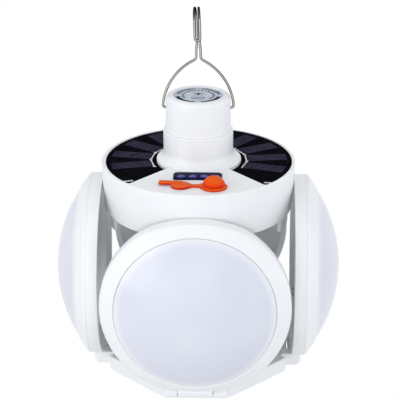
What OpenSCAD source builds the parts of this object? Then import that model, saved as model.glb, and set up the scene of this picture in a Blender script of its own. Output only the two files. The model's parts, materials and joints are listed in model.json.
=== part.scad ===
// Folding solar lantern: a wire hook, a neck and shoulder with a ring of solar cells,
// and four round lamp leaves that swing out from an octagonal frame at the bottom.
// Millimetres, +Z up, front towards -Y, origin where the hook bears on what it hangs from.

/* [Wire hook] */
// Diameter of the bail wire
wire_d = 1.5; // [1.2:0.1:2]
// Centre-line radius of the hook's curl
hook_r = 8; // [7:0.5:12]
// Height of the curl's centre above the pivots, along the stem
hook_rise = 52.4; // [48:0.2:60]
// Straight length of the hook's front legs
hook_leg = 7.6; // [5:0.2:12]
// Distance between the two stem wires, centre to centre
stem_gap = 2.7; // [2.5:0.1:4]
// Angle by which each curl turns outwards
hook_splay = 2.7; // [1.5:0.1:5]
// Radius of the bail's side arcs
bail_arc_r = 34; // [32:0.5:36]
// Angle at which the side arcs turn up into the stem
bail_arc_end = 62.5; // [60.5:0.5:63]
// Depth of the arcs' centres below the pivots
bail_arc_drop = 1.8; // [1.5:0.1:2.4]
// Free space between the neck and the wire beside it
bail_gap = 1.45; // [1.3:0.05:1.6]
// Radius of the bends into the pivots
pin_bend_r = 1.6; // [1.3:0.1:1.8]
// Straight length of wire left between two bends
bend_straight = 0.4; // [0.3:0.1:0.6]

/* [Neck] */
// Radius of the neck cap at its top
cap_r = 19.3; // [18.5:0.1:20]
// Widening of the cap from its top to the seam
cap_draft = 0.4; // [0.2:0.1:0.8]
// Height of the neck top above the reference level
neck_h = 43.4; // [42:0.2:50]
// Height of the seam between cap and lower neck
seam_h = 21.9; // [20:0.2:24]
// Depth of the pivots below the neck top
pivot_drop = 8.2; // [7.6:0.1:9.5]
// Radius of the cap's rounded rim
cap_rim_r = 3; // [2:0.5:4]
// Length of the spigot that plugs into the lower neck
spigot_h = 3.5; // [3:0.5:4.5]
// Radius of the round label plate
label_r = 15.2; // [13:0.1:15.6]
// Thickness of the label plate
label_t = 0.5; // [0.3:0.1:0.8]

/* [Shoulder] */
// Radius of the lower neck
lower_neck_r = 21.2; // [21:0.1:22]
// Radius of the foot where the neck flares out
flare_r = 24.6; // [24.2:0.1:25.2]
// Radius of the concave flare
flare_arc_r = 6; // [5:0.5:7]
// Radius of the deck rim
rim_r = 59.2; // [58.8:0.1:60]
// Height of the deck's outer edge above the reference level
deck_edge = 1.6; // [1.2:0.1:1.8]
// Height of the deck at the neck above the reference level
deck_rise = 2.8; // [2.4:0.1:3]
// Rounding of the deck's outer edge
edge_r = 1.5; // [1:0.25:2]
// Narrowing of the skirt from the rim to its lower edge
skirt_draft = 1.9; // [1.2:0.1:2.2]
// Height of the skirt below the rim
skirt_h = 27.5; // [26:0.5:30]
// Wall thickness of the shoulder and neck mouldings
wall = 2; // [1.8:0.1:2.2]
// Height of the catch aprons under the skirt
apron_h = 9; // [7:0.5:10]
// Half angle that an apron covers
apron_half = 24; // [20:1:26]

/* [Solar panel] */
// Width of the deck left between the flare and the panel pocket
panel_root = 1.8; // [1.6:0.1:2.4]
// Width of the deck left between the panel pocket and the rim
panel_rim = 2.2; // [2:0.1:2.8]
// Set-back of the pocket's front edges from the diagonals
panel_back = 4; // [3:0.5:6]
// Fillet of the pocket's outer corners
panel_corner_r = 3; // [2:0.5:4]
// Depth of the pocket's floor below the reference level
pocket_d = 1.9; // [1.7:0.1:2.2]
// Number of cells
cell_count = 10; // [8:1:10]
// Angle between neighbouring cells
cell_pitch = 21.3; // [20.5:0.1:21.6]
// Width of a cell
cell_w = 9.8; // [8:0.1:10]
// Distance of the cells' outer ends from the pocket's edge
cell_margin = 4; // [3:0.5:6]
// Thickness of a cell
cell_t = 0.3; // [0.2:0.05:0.4]
// Thickness of the backing board
backing_t = 1.2; // [1:0.1:1.4]
// Thickness of the clear cover
cover_t = 0.7; // [0.5:0.1:0.9]

/* [Controls] */
// Width of the indicator window
window_w = 29; // [26:0.5:30]
// Thickness of the indicator window
window_t = 1.8; // [1.4:0.1:2]
// Width of the deck left between the flare and the window
window_gap = 1.8; // [1.2:0.1:2]
// Width of the deck left between the window and the button's dome
window_front_gap = 2.4; // [2:0.1:2.8]
// Sideways place of the indicator window
window_x = 0.5; // [0:0.1:0.8]
// Sideways place of the power button
button_x = 10.4; // [10:0.1:11]
// Distance of the power button from the deck's rim
button_back = 13; // [12.4:0.1:13.4]
// Radius of the power button's dome
button_r = 6.2; // [5.8:0.1:6.4]
// Travel of the power button
button_travel = 1; // [0.6:0.1:1.2]
// Radius of the rubber flange around the button
flange_r = 8.1; // [7.8:0.1:8.4]
// Thickness of the rubber flange and strap
flange_t = 1; // [0.9:0.1:1.2]
// Width of the rubber strap
strap_w = 2.8; // [2.4:0.1:3.4]
// Sideways place of the charging plug
plug_x = -9.3; // [-9.8:0.1:-9]
// Distance of the charging plug from the deck's rim
plug_back = 13.2; // [12.6:0.1:13.6]
// Radius of the plug's pad
pad_r = 5.5; // [5:0.1:5.8]
// Thickness of the plug's pad
pad_t = 1.6; // [1.4:0.1:2]
// Length of the pull tab beyond the pad's centre
tab_l = 12.8; // [11:0.2:14]
// Width of the pull tab
tab_w = 4.8; // [4:0.1:5]
// Width of the charging socket's mouth
port_w = 8.4; // [7.6:0.1:8.6]
// Height of the charging socket's mouth
port_h = 2.8; // [2.4:0.1:3]
// Depth to which the plug's peg reaches below the pad
peg_l = 5; // [4:0.2:5.4]
// Height of the control board's top below the rim
board_drop = 9; // [8.8:0.1:10]

/* [Battery] */
// Diameter of a cell of the 18650 size
battery_d = 18.4; // [18:0.1:18.6]
// Length of a cell of the 18650 size
battery_l = 65; // [64:0.5:66]

/* [Column and bottom frame] */
// Outer radius of the centre column
column_r = 26; // [25:0.5:27]
// Radius of the column's end flanges
column_flange_r = 33; // [32.6:0.2:34]
// Distance of the frame's flats behind the leaves' backs
frame_step = 4.1; // [3.8:0.1:4.6]
// Distance of the frame's chamfers inside its flats
chamfer_in = 3.7; // [3:0.1:4.2]
// Height of the bottom frame
frame_h = 10; // [9.4:0.2:11]
// Depth of the frame's underside below the rim
frame_bottom = 133.5; // [133:0.25:137]
// Wall thickness of the bottom frame
frame_wall = 2.4; // [2:0.1:2.6]
// Width of the base cover around the base lamp, at the chamfers
base_border = 10.6; // [10.2:0.1:12]
// Bulge of the base diffuser
base_bulge = 1.7; // [1:0.1:1.8]

/* [Lamp leaves] */
// Radius of a leaf
leaf_r = 56.9; // [56:0.1:57.2]
// Depth that a leaf's flatter top takes off its round outline
top_flat = 1.7; // [1.4:0.1:2.4]
// How much flatter the arc of a leaf's top is than its outline
top_ease = 13; // [10:1:16]
// Depth that a leaf's bottom flat takes off its round outline
foot_flat = 3.4; // [3:0.1:4]
// Width of a leaf's side wall
leaf_wall_h = 7.1; // [6.6:0.1:7.6]
// Depth of the bevelled ring in front of the wall
bevel_h = 7; // [6.4:0.1:7.6]
// Width of the bevelled ring, from the leaf's edge to the diffuser
ring_w = 9.2; // [8.4:0.1:10]
// Height of the diffuser's dome
dome_h = 15; // [13:0.5:16]
// Thickness of the diffuser
dome_t = 1.6; // [1.2:0.1:2]
// Width of the rim around a leaf's recessed back
back_lip = 4; // [3:0.25:5]
// Depth of the recess in a leaf's back
back_recess = 3; // [2.6:0.1:3.2]
// Free space between the skirt and a closed leaf
leaf_gap = 0.5; // [0.4:0.1:0.8]

/* [Leaf hinges] */
// Radius of the hinge barrels
barrel_r = 4; // [3.6:0.1:4]
// Height of the hinge axis above the frame's underside
axis_up = 7.9; // [7.6:0.1:8.4]
// Distance of the hinge axis in front of the leaf's back
axis_out = 2.1; // [1.8:0.1:2.4]
// Distance of the hinge axis below the leaf's bottom flat
axis_below = 4.5; // [4.5:0.1:5]
// Width of the leaf's middle knuckle
knuckle_w = 21; // [19:0.5:22]
// Width of each hinge lug on the frame
lug_w = 8; // [7:0.2:9]
// Diameter of the hinge pins
pin_d = 3; // [2.4:0.1:3.4]

/* [Fits] */
// Gap between parts that fit into each other
fit = 0.15; // [0.1:0.05:0.2]
// Radial clearance of turning and sliding parts
running = 0.06; // [0.04:0.01:0.08]
// Side clearance of the hinge knuckles
side_gap = 0.2; // [0.15:0.05:0.3]

/* [Screws] */
// Shank diameter of the screws
screw_d = 2.4; // [2:0.1:2.5]
// Head diameter of the screws
screw_head_d = 4.4; // [4:0.1:4.6]
// Head height of the screws
screw_head_h = 1.3; // [1:0.1:1.5]
// Radius of the screw bosses
boss_r = 2.9; // [2.6:0.1:3]

/* [Hidden] */
$fn = 96;
eps = 0.01;
lap = 0.04;

// Bail and hook
pivot_h = neck_h - pivot_drop;
stem_x = stem_gap / 2;
bail_half = cap_r + bail_gap + wire_d / 2;
arc_x = bail_half - bail_arc_r;
pin_arm = norm([bail_arc_r - pin_bend_r, bend_straight]);
arc_start = asin((pin_bend_r + bail_arc_drop) / pin_arm)
    + atan(bend_straight / (bail_arc_r - pin_bend_r));
bend_end_x = arc_x + bail_arc_r * cos(bail_arc_end) - bend_straight * sin(bail_arc_end);
stem_bend_r = (bend_end_x - stem_x) / (1 - cos(bail_arc_end));
stem_z = (bail_arc_r + stem_bend_r) * sin(bail_arc_end) + bend_straight * cos(bail_arc_end) - bail_arc_drop;
pin_x = arc_x + (bail_arc_r - pin_bend_r) * cos(arc_start) + bend_straight * sin(arc_start);
front_x = stem_x + 2 * hook_r * sin(hook_splay);
front_y = 2 * hook_r * cos(hook_splay);
bail_tilt = atan(hook_r / hook_rise);
hang_h = pivot_h + norm([hook_r, hook_rise]) + hook_r - wire_d / 2;

// Neck and shoulder
cap_seam_r = cap_r + cap_draft;
cap_in_r = cap_r - wall;
neck_in_r = lower_neck_r - wall;
pivot_boss_r = 3;
pin_end_x = cap_in_r - 1.2;
deck_out_r = rim_r - edge_r;
skirt_r = rim_r - skirt_draft;
function deck_z(r) = deck_edge + (deck_rise - deck_edge) * (deck_out_r - r) / (deck_out_r - flare_r);
function skirt_at(z) = skirt_r + (rim_r - skirt_r) * (z + skirt_h) / (skirt_h + deck_edge - edge_r);
base_t = 2;
base_r = skirt_r - wall - fit;
case_screw_r = rim_r - 11.2;
case_screw_angles = [60, 120, 240, 300];
tray_floor = 2;
tray_wall = 1.5;
tray_z = -pocket_d - tray_floor;
tray_top = deck_edge - 0.4;

// Panel stack
cell_z = -pocket_d + backing_t;
tab_t = 0.15;
panel_in_r = flare_r + panel_root;
panel_out_r = rim_r - panel_rim;
cell_in_r = panel_in_r + 2.6;
cell_l = panel_out_r - cell_margin - cell_in_r;
front_angle = 45;

// Controls
seat_z = deck_edge - 0.1;
window_ledge = 1;
button_y = rim_r - button_back;
plug_y = rim_r - plug_back;
window_d = button_y - button_r - window_front_gap - window_gap - flare_r;
window_y = flare_r + window_gap + window_d / 2;
window_top = deck_z(window_y - window_d / 2) + 0.5;
board_t = 1.6;
board_in_r = lower_neck_r + 3.8;
board_out_r = rim_r - 6.2;
board_half = 38;
boss_x = 21;
boss_y = rim_r - 17.2;
board_boss = [[-boss_x, -boss_y], [0, -boss_y], [boss_x, -boss_y]];
board_boss_r = 2.2;
led_r = 1.5;
led_pitch = 6.8;
deck_under = 0.2;
switch_top = deck_edge - wall - 0.9;
switch_size = 12;
stem_r = 1.6;

// Battery
cell_gap = 0.4;
cell_x = (battery_d + cell_gap) / 2;
holder_t = 1.6;
contact_t = 0.6;
holder_top = seam_h - spigot_h - 0.4;
battery_top = holder_top - holder_t - contact_t;
battery_z = battery_top - battery_l;
holder_z = battery_z - contact_t - holder_t;
holder_top_r = neck_in_r - 2 * fit;
holder_foot_r = column_r - 4.6;
holder_hole_r = 4;
rod_y = 14;
rod_r = 2.4;

// Column and bottom frame
column_wall = 2;
column_in_r = column_r - column_wall;
flange_h = 2;
column_top = -skirt_h;
frame_top = frame_h - frame_bottom;
plate_t = 2;
cover_screw_l = 4.5;
column_screw_grip = 4;
case_screw_grip = 8;
board_screw_grip = 4;
leaf_screw_grip = 3;
column_screw_r = (column_r + column_flange_r) / 2;
column_boss_h = 5;
base_flange_t = 1.4;
cover_t2 = 2;
base_ring_r = [12, 21.5];

// Leaves: local z points outwards, local y up
leaf_top = leaf_r - top_flat;
leaf_foot = leaf_r - foot_flat;
top_arc_r = leaf_r + top_ease;
top_arc_y = leaf_top - top_arc_r;
axis_z = axis_up - frame_bottom;
leaf_drop = -axis_z - axis_below - leaf_foot;
leaf_top_h = leaf_top - leaf_drop;
leaf_back = skirt_at(leaf_top_h) + leaf_gap;
dome_r = leaf_r - ring_w;
leaf_wall = 2;
floor_t = 1.8;
floor_z = back_recess + floor_t;
ring_t = 1.8;
ring_top = leaf_wall_h + bevel_h;
dome_sphere_r = (dome_r * dome_r + dome_h * dome_h) / (2 * dome_h);
leaf_flange_r = dome_r + 1.9;
spigot_in_r = leaf_r - leaf_wall - ring_t;
leaf_flange_t = 1.4;
leaf_flange_z = ring_top - ring_t - leaf_flange_t - 0.2;
leaf_board_r = dome_r - 1.7;
leaf_ring_r = [14, 32];
leaf_post_r = 2.3;
leaf_post_c = leaf_flange_r + leaf_post_r + fit;
leaf_screw_angles = [45, 135, 225, 315];
axis_y = leaf_back + axis_out;
block_front = 10.6;
block_foot = 1.9;
lug_x = knuckle_w / 2 + side_gap;
hinge_half = lug_x + lug_w;

// Frame outline, which follows the leaves
frame_flat = leaf_back - frame_step;
frame_chamfer = frame_flat - chamfer_in;
lug_bite = 1;
lug_root = min(frame_flat, frame_chamfer * sqrt(2) - hinge_half) - lug_bite;
base_open_r = frame_chamfer - base_border;
base_board_r = base_open_r - 2.4;
cover_screw_r = frame_chamfer - frame_wall - boss_r - 0.3;
base_flange_r = cover_screw_r - boss_r - fit;
cut_l = 8 * rim_r;

function arc(c, r, a, b, n = 8) =
    [for (i = [0:n]) c + r * [cos(a + (b - a) * i / n), sin(a + (b - a) * i / n)]];

module place() translate([0, 0, -hang_h]) children();
module front_at(r, angle) rotate([0, 0, angle]) translate([0, -r, 0]) children();
module rod(r, h, z = 0) translate([0, 0, z]) cylinder(r = r, h = h);
module x_rod(r, l, x, y, z) translate([x, y, z]) rotate([0, 90, 0]) cylinder(r = r, h = l);

module rounded(w, d, r) {
    square([w - 2 * r, d], center = true);
    square([w, d - 2 * r], center = true);
    for (x = [-1, 1], y = [-1, 1]) translate([x * (w / 2 - r), y * (d / 2 - r)]) circle(r);
}

// A pan-head screw whose head rests at z = 0 and whose shank points up
module screw(l) {
    slot = screw_head_d * 0.55;
    difference() {
        rod(screw_head_d / 2, screw_head_h, -screw_head_h);
        for (a = [0, 90]) rotate([0, 0, a])
            translate([-slot / 2, -0.3, -screw_head_h - eps]) cube([slot, 0.6, 0.7]);
    }
    rod(screw_d / 2, l);
}
module screw_hole(l, z = 0) rod(screw_d / 2 + running, l, z);

// ---- hook ----
// Part of a wire ring in the XZ plane
module wire_bend(r, a, b) rotate([90, 0, 0]) rotate([0, 0, a])
    rotate_extrude(angle = b - a) translate([r, 0]) circle(d = wire_d, $fn = 32);

// A straight piece of wire, which laps a little into the bends at its ends
module wire_rod(l) rod(wire_d / 2 + 0.01, l + 2 * lap, -lap);

module bail_side() {
    translate([pin_end_x + lap, 0, 0]) rotate([0, 90, 0]) wire_rod(pin_x - pin_end_x - lap);
    translate([pin_x, 0, pin_bend_r]) wire_bend(pin_bend_r, -90, arc_start);
    translate([arc_x, 0, -bail_arc_drop]) {
        wire_bend(bail_arc_r, arc_start, bail_arc_end);
        rotate([0, -arc_start, 0]) translate([bail_arc_r, 0, -bend_straight]) wire_rod(bend_straight);
        rotate([0, -bail_arc_end, 0]) translate([bail_arc_r, 0, 0]) wire_rod(bend_straight);
    }
    translate([stem_x + stem_bend_r, 0, stem_z]) wire_bend(stem_bend_r, 180, 180 + bail_arc_end);
    translate([stem_x, 0, stem_z]) wire_rod(hook_rise - stem_z);
    translate([stem_x, 0, hook_rise]) rotate([0, 0, hook_splay]) translate([0, -hook_r, 0])
        rotate([0, 0, -90]) wire_bend(hook_r, 0, 180);
    translate([front_x, -front_y, hook_rise - hook_leg]) wire_rod(hook_leg);
}

module bail_wire() color("silver") place() translate([0, 0, pivot_h]) rotate([-bail_tilt, 0, 0]) {
    bail_side();
    mirror([1, 0, 0]) bail_side();
    translate([0, -front_y, hook_rise - hook_leg]) wire_bend(front_x, 180, 360);
}

// ---- neck ----
module neck_cap() color("white") place() difference() {
    union() {
        rotate_extrude() polygon(concat(
            arc([cap_r - cap_rim_r, neck_h - cap_rim_r], cap_rim_r, 90, 0),
            [[cap_seam_r, seam_h], [neck_in_r - fit, seam_h], [neck_in_r - fit, seam_h - spigot_h],
             [cap_in_r, seam_h - spigot_h], [cap_in_r, neck_h - wall - label_t],
             [0, neck_h - wall - label_t], [0, neck_h]]));
        for (s = [0, 180]) rotate([0, 0, s])
            x_rod(pivot_boss_r, cap_r - wall / 2 - pin_end_x + 0.4, pin_end_x - 0.4, 0, pivot_h);
    }
    rod(label_r + fit, label_t + 1, neck_h - label_t);
    x_rod(wire_d / 2 + running, 2 * rim_r, -rim_r, 0, pivot_h);
}

module cap_label() color("lightsteelblue") place() rod(label_r, label_t - 0.1, neck_h - label_t);

// ---- shoulder ----
// Outline of the panel pocket, larger all round by grow
module panel_outline(grow) {
    r = panel_out_r + grow;
    c = panel_corner_r + grow;
    back = panel_back - grow;
    along = sqrt(pow(r - c, 2) - pow(back + c, 2));
    difference() {
        circle(r);
        circle(panel_in_r - grow);
        polygon([[0, back * sqrt(2)], [-2 * r, back * sqrt(2) - 2 * r], [2 * r, back * sqrt(2) - 2 * r]]);
        for (s = [-1, 1]) scale([s, 1]) rotate(-front_angle)
            polygon(concat(arc([along, back + c], c + 0.05, -90, atan2(back + c, along), 4),
                [[r + 3, back - 3]]));
    }
}

module shoulder_profile() polygon(concat(
    arc([lower_neck_r - 0.8, seam_h - 0.8], 0.8, 90, 0, 4),
    arc([lower_neck_r + flare_arc_r, deck_rise + 0.4 + flare_arc_r * 0.9], flare_arc_r, 180,
        180 + acos((lower_neck_r + flare_arc_r - flare_r) / flare_arc_r)),
    [[flare_r, deck_rise]],
    arc([deck_out_r, deck_edge - edge_r], edge_r, 90, 0),
    [[skirt_r, -skirt_h], [skirt_r - wall, -skirt_h], [rim_r - wall, deck_edge - edge_r - 1],
     [deck_out_r - wall / 2, deck_edge - wall], [neck_in_r + 3, deck_rise - wall],
     [neck_in_r, deck_rise - wall], [neck_in_r, seam_h]]));

module shoulder_shell() color("white") place() difference() {
    union() {
        rotate_extrude() shoulder_profile();
        translate([0, 0, tray_z]) linear_extrude(tray_top - tray_z) panel_outline(tray_wall);
        for (a = case_screw_angles) front_at(case_screw_r, a)
            rod(boss_r, skirt_h - base_t + tray_z + 1, base_t - skirt_h);
        for (p = board_boss) translate(p)
            rod(board_boss_r, board_drop + deck_z(norm(p)) - wall / 2, -board_drop);
    }
    translate([0, 0, -pocket_d]) linear_extrude(pocket_d + neck_h / 2) panel_outline(0);
    for (a = case_screw_angles) front_at(case_screw_r, a) screw_hole(10, base_t - skirt_h - eps);
    for (p = board_boss) translate(p) screw_hole(6, -board_drop - eps);
    translate([window_x, -window_y, window_top - window_t]) linear_extrude(10)
        rounded(window_w + 2 * fit, window_d + 2 * fit, 2);
    translate([window_x, -window_y, -10]) linear_extrude(20)
        square([window_w - 2 * window_ledge, window_d - 2 * window_ledge], center = true);
    translate([button_x, -button_y, 0]) {
        rod(flange_r + fit, 5, seat_z);
        rod(button_r + 2 * fit, 20, -10);
    }
    translate([plug_x, -plug_y, 0]) {
        rod(pad_r + fit, 5, seat_z);
        cube([port_w + 2 * fit, port_h + 2 * fit, 30], center = true);
    }
    translate([plug_x, -button_y - strap_w / 2 - fit, seat_z])
        cube([button_x - plug_x, strap_w + 2 * fit, 5]);
}

// ---- solar panel ----
module panel_layer(z, t, inset) translate([0, 0, z]) linear_extrude(t) panel_outline(-inset);

module solar_backing() color("black") place() panel_layer(-pocket_d, backing_t, fit);

module at_cells() for (i = [0:cell_count - 1])
    rotate([0, 0, 180 + (i - (cell_count - 1) / 2) * cell_pitch]) children();

module solar_cells() color("midnightblue") place() at_cells()
    translate([-cell_w / 2, -cell_in_r - cell_l, cell_z]) cube([cell_w, cell_l, cell_t]);

module cell_tabs() color("gainsboro") place() at_cells()
    translate([-cell_w / 2 + 0.6, -cell_in_r - 1.4, cell_z + cell_t])
        cube([cell_w - 1.2, 1.1, tab_t]);

module solar_cover() color([0.75, 0.8, 0.9, 0.35]) place()
    panel_layer(cell_z + cell_t + tab_t + 0.05, cover_t, fit);

// ---- controls ----
module indicator_window() color("darkslateblue") place()
    translate([window_x, -window_y, window_top - window_t]) linear_extrude(window_t)
        rounded(window_w, window_d, 2 - fit);

module indicator_leds() color("royalblue") place()
    for (i = [0:3]) translate([window_x + (i - 1.5) * led_pitch, -window_y, 0])
        rod(led_r, board_drop + window_top - window_t - 0.3, -board_drop);

module control_board() color("seagreen") place() difference() {
    translate([0, 0, -board_drop - board_t]) linear_extrude(board_t) intersection() {
        difference() {
            circle(board_out_r);
            circle(board_in_r);
        }
        polygon([[0, 0], for (a = [-board_half, board_half]) 2 * board_out_r * [sin(a), -cos(a)]]);
    }
    for (p = board_boss) translate(p) screw_hole(board_t + 1, -board_drop - board_t - 0.5);
}

module board_screws() color("dimgray") place() for (p = board_boss)
    translate([p[0], p[1], -board_drop - board_t]) screw(board_t + board_screw_grip);

module charge_socket() color("gray") place() translate([plug_x, -plug_y, -board_drop]) difference() {
    translate([-port_w / 2 - 1, -port_h / 2 - 1, 0])
        cube([port_w + 2, port_h + 2, board_drop + deck_edge - wall - deck_under]);
    translate([-port_w / 2 - fit, -port_h / 2 - fit, board_drop + seat_z - peg_l - 1])
        cube([port_w + 2 * fit, port_h + 2 * fit, board_drop]);
}

module switch_body() color("dimgray") place() translate([button_x, -button_y, 0]) difference() {
    translate([-switch_size / 2, -switch_size / 2, -board_drop])
        cube([switch_size, switch_size, board_drop + switch_top]);
    rod(stem_r + fit, 10, switch_top - 3);
}

module power_button() color("orangered") place() translate([button_x, -button_y, 0]) {
    top = seat_z + flange_t;
    skirt = switch_top + button_travel + 0.4;
    difference() {
        union() {
            rod(button_r, top - skirt, skirt);
            translate([0, 0, top]) sphere(button_r);
        }
        rod(2 * button_r, 2 * button_r, skirt - 2 * button_r);
        rod(button_r - 1.4, top - skirt + 1, skirt - 1);
        translate([0, 0, top]) sphere(button_r - 1.4);
    }
    rod(stem_r, top + button_r - 0.7 - switch_top + 1, switch_top - 1);
}

module rubber_strap() color("orangered") place() difference() {
    union() {
        translate([button_x, -button_y, 0]) rod(flange_r, flange_t, seat_z);
        translate([plug_x, -button_y - strap_w / 2, seat_z]) cube([button_x - plug_x, strap_w, flange_t]);
    }
    translate([button_x, -button_y, 0]) rod(button_r + running, 10, -2);
    translate([plug_x, -plug_y, 0]) rod(pad_r + 0.3, 10, -2);
}

module port_plug() color("orangered") place() translate([plug_x, -plug_y, 0]) {
    tab_y = pad_r - tab_w / 2;
    rod(pad_r, pad_t, seat_z);
    translate([-tab_l, tab_y - tab_w / 2, seat_z + pad_t - 0.6]) cube([tab_l, tab_w, 1.1]);
    translate([-port_w / 2 + fit, -port_h / 2 + fit, seat_z - peg_l])
        cube([port_w - 2 * fit, port_h - 2 * fit, peg_l]);
}

// ---- battery ----
module battery_holder() color("dimgray") place() difference() {
    union() {
        rod(holder_foot_r, holder_t, holder_z);
        rod(holder_top_r, holder_t, battery_top + contact_t);
        for (s = [-1, 1]) translate([0, s * rod_y, 0])
            rod(rod_r, battery_top + contact_t - holder_z, holder_z + eps);
    }
    rod(holder_hole_r, cut_l, -cut_l / 2);
}

module battery_cells() color("limegreen") place() for (s = [-1, 1]) translate([s * cell_x, 0, battery_z]) {
    rod(battery_d / 2, battery_l - 1.2);
    rod(battery_d * 0.15, 1.2, battery_l - 1.2);
}

module battery_contacts() color("silver") place()
    for (s = [-1, 1], z = [battery_z - contact_t, battery_top]) translate([s * cell_x, 0, 0])
        rod(4, contact_t, z);

// ---- shoulder base and column ----
module shoulder_base() color("whitesmoke") place() difference() {
    union() {
        rod(base_r, base_t, -skirt_h);
        for (i = [0:3]) front_at(column_screw_r, 45 + 90 * i)
            rod(boss_r, column_boss_h, -skirt_h + base_t - eps);
        translate([0, 0, -skirt_h - apron_h]) linear_extrude(apron_h + base_t) intersection() {
            difference() {
                circle(base_r);
                circle(base_r - wall);
            }
            for (i = [0:3]) rotate(90 * i) polygon([[0, 0],
                for (a = [-apron_half, apron_half]) 2 * base_r * [sin(a), -cos(a)]]);
        }
    }
    rod(column_in_r, cut_l, -cut_l / 2);
    for (i = [0:3]) front_at(column_screw_r, 45 + 90 * i)
        screw_hole(base_t + column_boss_h + 1, -skirt_h - 0.5);
    for (a = case_screw_angles) front_at(case_screw_r, a) screw_hole(base_t + 1, -skirt_h - 0.5);
    for (i = [0:3], s = [-1, 1]) rotate([0, 0, 90 * i + s * apron_half * 0.5])
        translate([-1.6, -base_r - 1, -skirt_h - apron_h - 1]) cube([3.2, wall + 2, apron_h - 1]);
}

module shoulder_screws() color("dimgray") place() for (a = case_screw_angles)
    front_at(case_screw_r, a) translate([0, 0, -skirt_h]) screw(base_t + case_screw_grip);

module centre_column() color("whitesmoke") place() difference() {
    union() {
        rod(column_r, -frame_top + column_top, frame_top);
        rod(column_flange_r, flange_h, column_top - flange_h);
        rod(column_flange_r, flange_h, frame_top);
        for (i = [0:3]) front_at(column_screw_r, 45 + 90 * i)
            rod(boss_r, column_boss_h, frame_top + flange_h - eps);
    }
    difference() {
        rod(column_in_r, cut_l, -cut_l / 2);
        intersection() {
            difference() {
                rod(column_in_r + 1, 2, holder_z - 2);
                rod(holder_foot_r - 1.4, 4, holder_z - 3);
            }
            for (a = [60, 180, 300]) rotate([0, 0, a]) translate([-5, -column_r, holder_z - 3])
                cube([10, column_r, 4]);
        }
    }
    for (i = [0:3]) front_at(column_screw_r, 45 + 90 * i) {
        screw_hole(flange_h + 1, column_top - flange_h - 0.5);
        screw_hole(column_boss_h + flange_h + 1, frame_top - 0.5);
    }
}

module column_screws() color("dimgray") place() for (i = [0:3]) front_at(column_screw_r, 45 + 90 * i) {
    translate([0, 0, column_top - flange_h]) screw(flange_h + base_t + column_screw_grip);
    translate([0, 0, frame_top - plate_t - board_t]) screw(board_t + plate_t + flange_h + column_screw_grip);
}

// Leads from the control board down the column, and out to the four hinges
module wire_harness() color("firebrick") place() {
    lead_r = 0.8;
    down_r = column_in_r - lead_r - 0.3;
    for (x = [-1.2, 1.2]) translate([x, -down_r, 0]) {
        rod(lead_r, -board_drop - board_t - frame_top + plate_t, frame_top - plate_t);
        translate([0, 0, -board_drop - board_t - lead_r]) rotate([90, 0, 0])
            cylinder(r = lead_r, h = 4);
    }
}

// ---- bottom frame ----
module frame_outline(inset) {
    f = frame_flat - inset;
    h = (frame_chamfer - inset) * sqrt(2) - f;
    polygon([[f, -h], [f, h], [h, f], [-h, f], [-f, h], [-f, -h], [-h, -f], [h, -f]]);
}

module bottom_frame() color("white") place() difference() {
    union() {
        difference() {
            translate([0, 0, -frame_bottom]) linear_extrude(frame_h) frame_outline(0);
            translate([0, 0, -frame_bottom - 1]) linear_extrude(frame_h - plate_t + 1)
                frame_outline(frame_wall);
        }
        for (i = [0:3]) {
            front_at(cover_screw_r, 45 + 90 * i)
                rod(boss_r, frame_h - plate_t - cover_t2 + eps, cover_t2 - frame_bottom);
            rotate([0, 0, 90 * i]) for (x = [lug_x, -hinge_half]) {
                x_rod(barrel_r, lug_w, x, -axis_y, axis_z);
                translate([x, -axis_y, axis_z - barrel_r])
                    cube([lug_w, axis_y - lug_root, 2 * barrel_r]);
            }
        }
    }
    rod(column_in_r, cut_l, -cut_l / 2);
    for (i = [0:3]) {
        front_at(column_screw_r, 45 + 90 * i) screw_hole(plate_t + 1, frame_top - plate_t - 0.5);
        front_at(cover_screw_r, 45 + 90 * i) screw_hole(6, cover_t2 - frame_bottom - eps);
        rotate([0, 0, 90 * i])
            x_rod(pin_d / 2 + running / 2, 2 * hinge_half + 2, -hinge_half - 1, -axis_y, axis_z);
    }
}

module base_board() color("white") place() difference() {
    rod(base_board_r, board_t, frame_top - plate_t - board_t);
    for (i = [0:3]) front_at(column_screw_r, 45 + 90 * i)
        screw_hole(board_t + 1, frame_top - plate_t - board_t - 0.5);
}

module led_chip() translate([-1.75, -1.4, 0]) cube([3.5, 2.8, 0.8]);

module base_leds() color("khaki") place()
    for (ring = [[base_ring_r[0], 6], [base_ring_r[1], 10]], i = [0:ring[1] - 1])
        front_at(ring[0], 360 * i / ring[1])
        translate([0, 0, frame_top - plate_t - board_t - 0.8]) led_chip();

module base_diffuser() color("ghostwhite") place() {
    low = cover_t2 - frame_bottom;
    ball_r = (pow(base_open_r - fit, 2) + base_bulge * base_bulge) / (2 * base_bulge);
    difference() {
        rod(base_flange_r, base_flange_t, low);
        rod(base_open_r - 1.6, 2 * base_flange_t, low - base_flange_t / 2);
    }
    intersection() {
        translate([0, 0, low - base_bulge + ball_r]) difference() {
            sphere(ball_r, $fn = 180);
            sphere(ball_r - 1.4, $fn = 180);
        }
        rod(base_open_r - fit, base_bulge + base_flange_t, low - base_bulge);
    }
}

module base_cover() color("white") place() difference() {
    translate([0, 0, -frame_bottom]) linear_extrude(cover_t2) frame_outline(frame_wall + fit);
    rod(base_open_r, 4 * cover_t2, -frame_bottom - 2 * cover_t2);
    for (i = [0:3]) front_at(cover_screw_r, 45 + 90 * i) {
        screw_hole(cover_t2 + 1, -frame_bottom - 0.5);
        rod(screw_head_d / 2 + fit, screw_head_h + 0.1 + 1, -frame_bottom - 1);
    }
}

module cover_screws() color("dimgray") place() for (i = [0:3]) front_at(cover_screw_r, 45 + 90 * i)
    translate([0, 0, screw_head_h + 0.1 - frame_bottom]) screw(cover_screw_l);

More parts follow.
